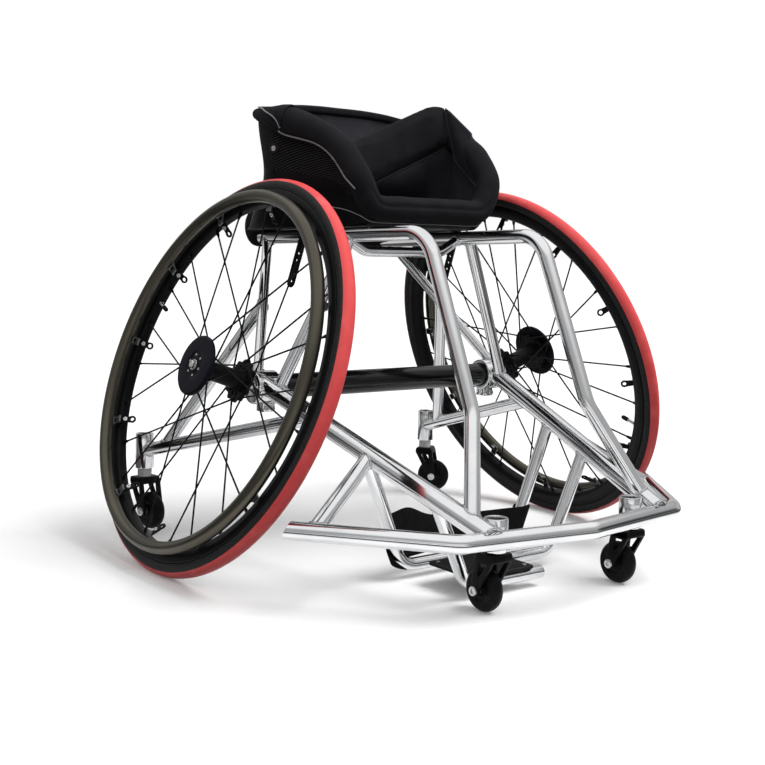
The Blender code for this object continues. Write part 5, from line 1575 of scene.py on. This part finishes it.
class WHEELCHAIR_OT_hubs(Making, bpy.types.Operator):
    """Make the spoked hubs, their covers and the quick-release axles"""

    bl_idname = "wheelchair.hubs"
    bl_label = "Hubs and axles"

    def execute(self, context):
        for side in SIDES:
            hub(side, context.scene.wheelchair_wheels)
            hub_cover(side)
            axle(side)
        return {"FINISHED"}


class WHEELCHAIR_OT_handrims(Making, bpy.types.Operator):
    """Make the handrims and their tabs"""

    bl_idname = "wheelchair.handrims"
    bl_label = "Handrims"

    def execute(self, context):
        for side in SIDES:
            handrim(side, context.scene.wheelchair_wheels)
        return {"FINISHED"}


class WHEELCHAIR_OT_frame(Making, bpy.types.Operator):
    """Make the camber tube, the frame's tubes, the bumper and the rear arms"""

    bl_idname = "wheelchair.frame"
    bl_label = "Frame"

    def execute(self, context):
        sizes = context.scene.wheelchair_frame
        camber_tube()
        for make in (frame_tubes, bumper, antitip_arms):
            make(sizes)
        return {"FINISHED"}


class WHEELCHAIR_OT_footrest(Making, bpy.types.Operator):
    """Make the footrest tubes, the footplate and the heel strap"""

    bl_idname = "wheelchair.footrest"
    bl_label = "Footrest"

    def execute(self, context):
        foot_tubes(context.scene.wheelchair_frame)
        footplate()
        heel_strap()
        return {"FINISHED"}


class WHEELCHAIR_OT_casters(Making, bpy.types.Operator):
    """Make the front casters and the anti-tip casters"""

    bl_idname = "wheelchair.casters"
    bl_label = "Casters"

    def execute(self, context):
        for word in SIDES:
            caster_barrel(word)
            for kind, barrel in BARRELS.items():
                caster(f"{word}_{kind}", *barrel)
        return {"FINISHED"}


class WHEELCHAIR_OT_seat(Making, bpy.types.Operator):
    """Make the bucket, its padded rim, the cushion, the pelvic pad and the straps"""

    bl_idname = "wheelchair.seat"
    bl_label = "Seat"

    def execute(self, context):
        sizes = context.scene.wheelchair_seat
        bucket(sizes)
        padded_rim(sizes)
        seat_cushion()
        pelvic_pad(sizes)
        tension_straps(sizes)
        return {"FINISHED"}


class WHEELCHAIR_OT_stage(Making, bpy.types.Operator):
    """Set the floor, the studio light and the camera"""

    bl_idname = "wheelchair.stage"
    bl_label = "Stage"

    def execute(self, context):
        scene = context.scene
        scene.view_settings.view_transform = "Standard"
        stage_floor(tuple(scene.wheelchair_finishes.floor))
        studio_light(scene)
        studio_camera(scene)
        return {"FINISHED"}


FRONT = (-0.6, -0.8, 0)


def surround(front):
    """How bright metal sees the studio, from 1 on the camera's side to -1 behind the chair: painted
    reflection bands on the far floor, and the sky that glossy rays see.
    """
    sides = 0.05 + front.over(0.10, 0.30) * 0.30
    before = sides + front.over(0.78, 0.96) * 0.65
    return before + (1 - front.over(-0.5, -0.2)) * 0.55


def stage_floor(tone):
    """A wide pale floor that keeps the chair's shadow; further out it glows with painted reflection bands for
    glossy rays, and bounced light sees it dark grey as painted shade.
    """
    look = Finish("studio_floor", tone, 0.9, shine=0.0)
    look.tint(look.grain(3.0), tone, [min(1, c * 1.01) for c in tone])
    bare = Wire(look, look.shader.outputs[0])
    glow = look.node("ShaderNodeEmission", {}, {"Color": (1, 1, 1, 1), "Strength": 0.10})
    both = look.node("ShaderNodeAddShader", {}, {0: bare, 1: glow})
    # Bounced light sees the floor as dark grey: painted shade on the chair's undersides.
    painted_shade_bounce = look.node("ShaderNodeBsdfDiffuse", {}, {"Color": (0.16, 0.16, 0.16, 1)})
    seen = look.ray("Camera").math("MAXIMUM", look.ray("Camera"), look.ray("Glossy"))
    near = look.node("ShaderNodeMixShader", {}, {0: seen, 1: painted_shade_bounce, 2: both})
    spot = look.where()
    reach = look.node("ShaderNodeVectorMath", {"operation": "LENGTH"}, {0: spot}, "Value")
    front = look.node("ShaderNodeVectorMath", {"operation": "DOT_PRODUCT"}, {0: spot, 1: FRONT}, "Value")
    # Painted reflection: beyond about 0.6 m the floor glows, for glossy rays only, in light and dark bands.
    shown = surround(front.math("DIVIDE", front, reach)) * reach.over(0.95, 1.2) + 0.08
    painted_reflection_card = look.node("ShaderNodeEmission", {}, {"Color": shown, "Strength": 1.0})
    painted_reflection_reach = reach.over(0.54, 0.70) * look.ray("Glossy")
    mix = look.node("ShaderNodeMixShader", {}, {0: painted_reflection_reach, 1: near, 2: painted_reflection_card})
    look.put(look.tree.nodes["Material Output"].inputs["Surface"], mix)
    half = 30
    rows = [[(-half, y, -0.0004), (half, y, -0.0004)] for y in (-half, half)]
    mesh = skinned(rows, around=False)
    mesh.materials.append(look.material)
    placed("studio_floor", mesh)


def studio_light(scene):
    """A soft sky, dark low down on the camera's side, and two wide distant lamps."""
    world = bpy.data.worlds.new("studio")
    scene.world = world
    sky = Nodes(world)
    way = sky.node("ShaderNodeTexCoord", {}, {}, "Generated")
    height = sky.node("ShaderNodeSeparateXYZ", {}, {0: way}, "Z")
    front = sky.node("ShaderNodeVectorMath", {"operation": "DOT_PRODUCT"}, {0: way, 1: FRONT}, "Value")
    dark = front.over(-0.3, 0.35) * (1 - height.over(0.14, 0.42))
    tone = sky.mixed(dark, (0.42, 0.42, 0.42), (0.02, 0.02, 0.022))
    soft = sky.node("ShaderNodeBackground", {}, {"Color": tone, "Strength": 1.0})
    white = sky.node("ShaderNodeBackground", {}, {"Color": (1, 1, 1, 1), "Strength": 1.0})
    low = surround(front) * height.over(0.0, 0.10)
    shown = low + height.over(0.12, 0.35) * (0.42 - low) + height.over(0.45, 0.75) * 0.58
    studio = sky.node("ShaderNodeBackground", {}, {"Color": shown, "Strength": 1.0})
    lit = sky.node("ShaderNodeMixShader", {}, {0: sky.ray("Glossy"), 1: soft, 2: studio})
    mix = sky.node("ShaderNodeMixShader", {}, {0: sky.ray("Camera"), 1: lit, 2: white})
    sky.put(sky.tree.nodes["World Output"].inputs["Surface"], mix)
    for name, aim, angle, power in (
        ("key", (-0.38, 0.37, -0.85), 36, 2.35),
        ("fill", (0.50, 0.45, -0.74), 90, 0.75),
    ):
        lamp = bpy.data.lights.new(name, "SUN")
        lamp.angle = radians(angle)
        lamp.energy = power
        made = placed(name, lamp)
        made.rotation_mode = "QUATERNION"
        made.rotation_quaternion = Vector(aim).to_track_quat("-Z", "Y")
        made.visible_glossy = False


def studio_camera(scene):
    """The photo's view: right front of the chair, a little above the seat rails."""
    yaw, pitch, roll = radians(37.397), radians(-6.318), radians(1.299)
    focal, width = 1211.0, 765
    ahead = Vector((sin(yaw) * cos(pitch), cos(yaw) * cos(pitch), sin(pitch)))
    level = Vector((cos(yaw), -sin(yaw), 0))
    rise = level.cross(ahead)
    right = level * cos(roll) + rise * sin(roll)
    up = rise * cos(roll) - level * sin(roll)
    data = bpy.data.cameras.new("studio_camera")
    data.sensor_width = 36
    data.lens = focal / width * data.sensor_width
    made = placed("studio_camera", data)
    made.matrix_world = axes(Vector((-1.1909, -1.4685, 0.4748)), right, up, -ahead)
    scene.camera = made


OPERATORS = (
    WHEELCHAIR_OT_finishes,
    WHEELCHAIR_OT_tyres,
    WHEELCHAIR_OT_hubs,
    WHEELCHAIR_OT_handrims,
    WHEELCHAIR_OT_frame,
    WHEELCHAIR_OT_footrest,
    WHEELCHAIR_OT_casters,
    WHEELCHAIR_OT_seat,
    WHEELCHAIR_OT_stage,
)
GROUPS = {
    "wheelchair_wheels": WheelSizes,
    "wheelchair_frame": FrameSizes,
    "wheelchair_seat": SeatSizes,
    "wheelchair_finishes": Finishes,
}


class WHEELCHAIR_PT_panel(bpy.types.Panel):
    """Sizes, colours and steps of the wheelchair"""

    bl_label = "Court wheelchair"
    bl_space_type = "VIEW_3D"
    bl_region_type = "UI"
    bl_category = "Wheelchair"

    def draw(self, context):
        for group in GROUPS:
            owner = getattr(context.scene, group)
            column = self.layout.column(align=True)
            for name in owner.bl_rna.properties.keys():
                if name not in ("rna_type", "name"):
                    column.prop(owner, name)
        for operator in OPERATORS:
            self.layout.operator(operator.bl_idname)


CLASSES = (*GROUPS.values(), *OPERATORS, WHEELCHAIR_PT_panel)


def register():
    for kind in CLASSES:
        bpy.utils.register_class(kind)
    for name, group in GROUPS.items():
        setattr(bpy.types.Scene, name, bpy.props.PointerProperty(type=group))


def unregister():
    for name in GROUPS:
        delattr(bpy.types.Scene, name)
    for kind in reversed(CLASSES):
        bpy.utils.unregister_class(kind)


def main():
    register()
    for operator in OPERATORS:
        group, action = operator.bl_idname.split(".")
        getattr(getattr(bpy.ops, group), action)()


if __name__ == "__main__":
    main()
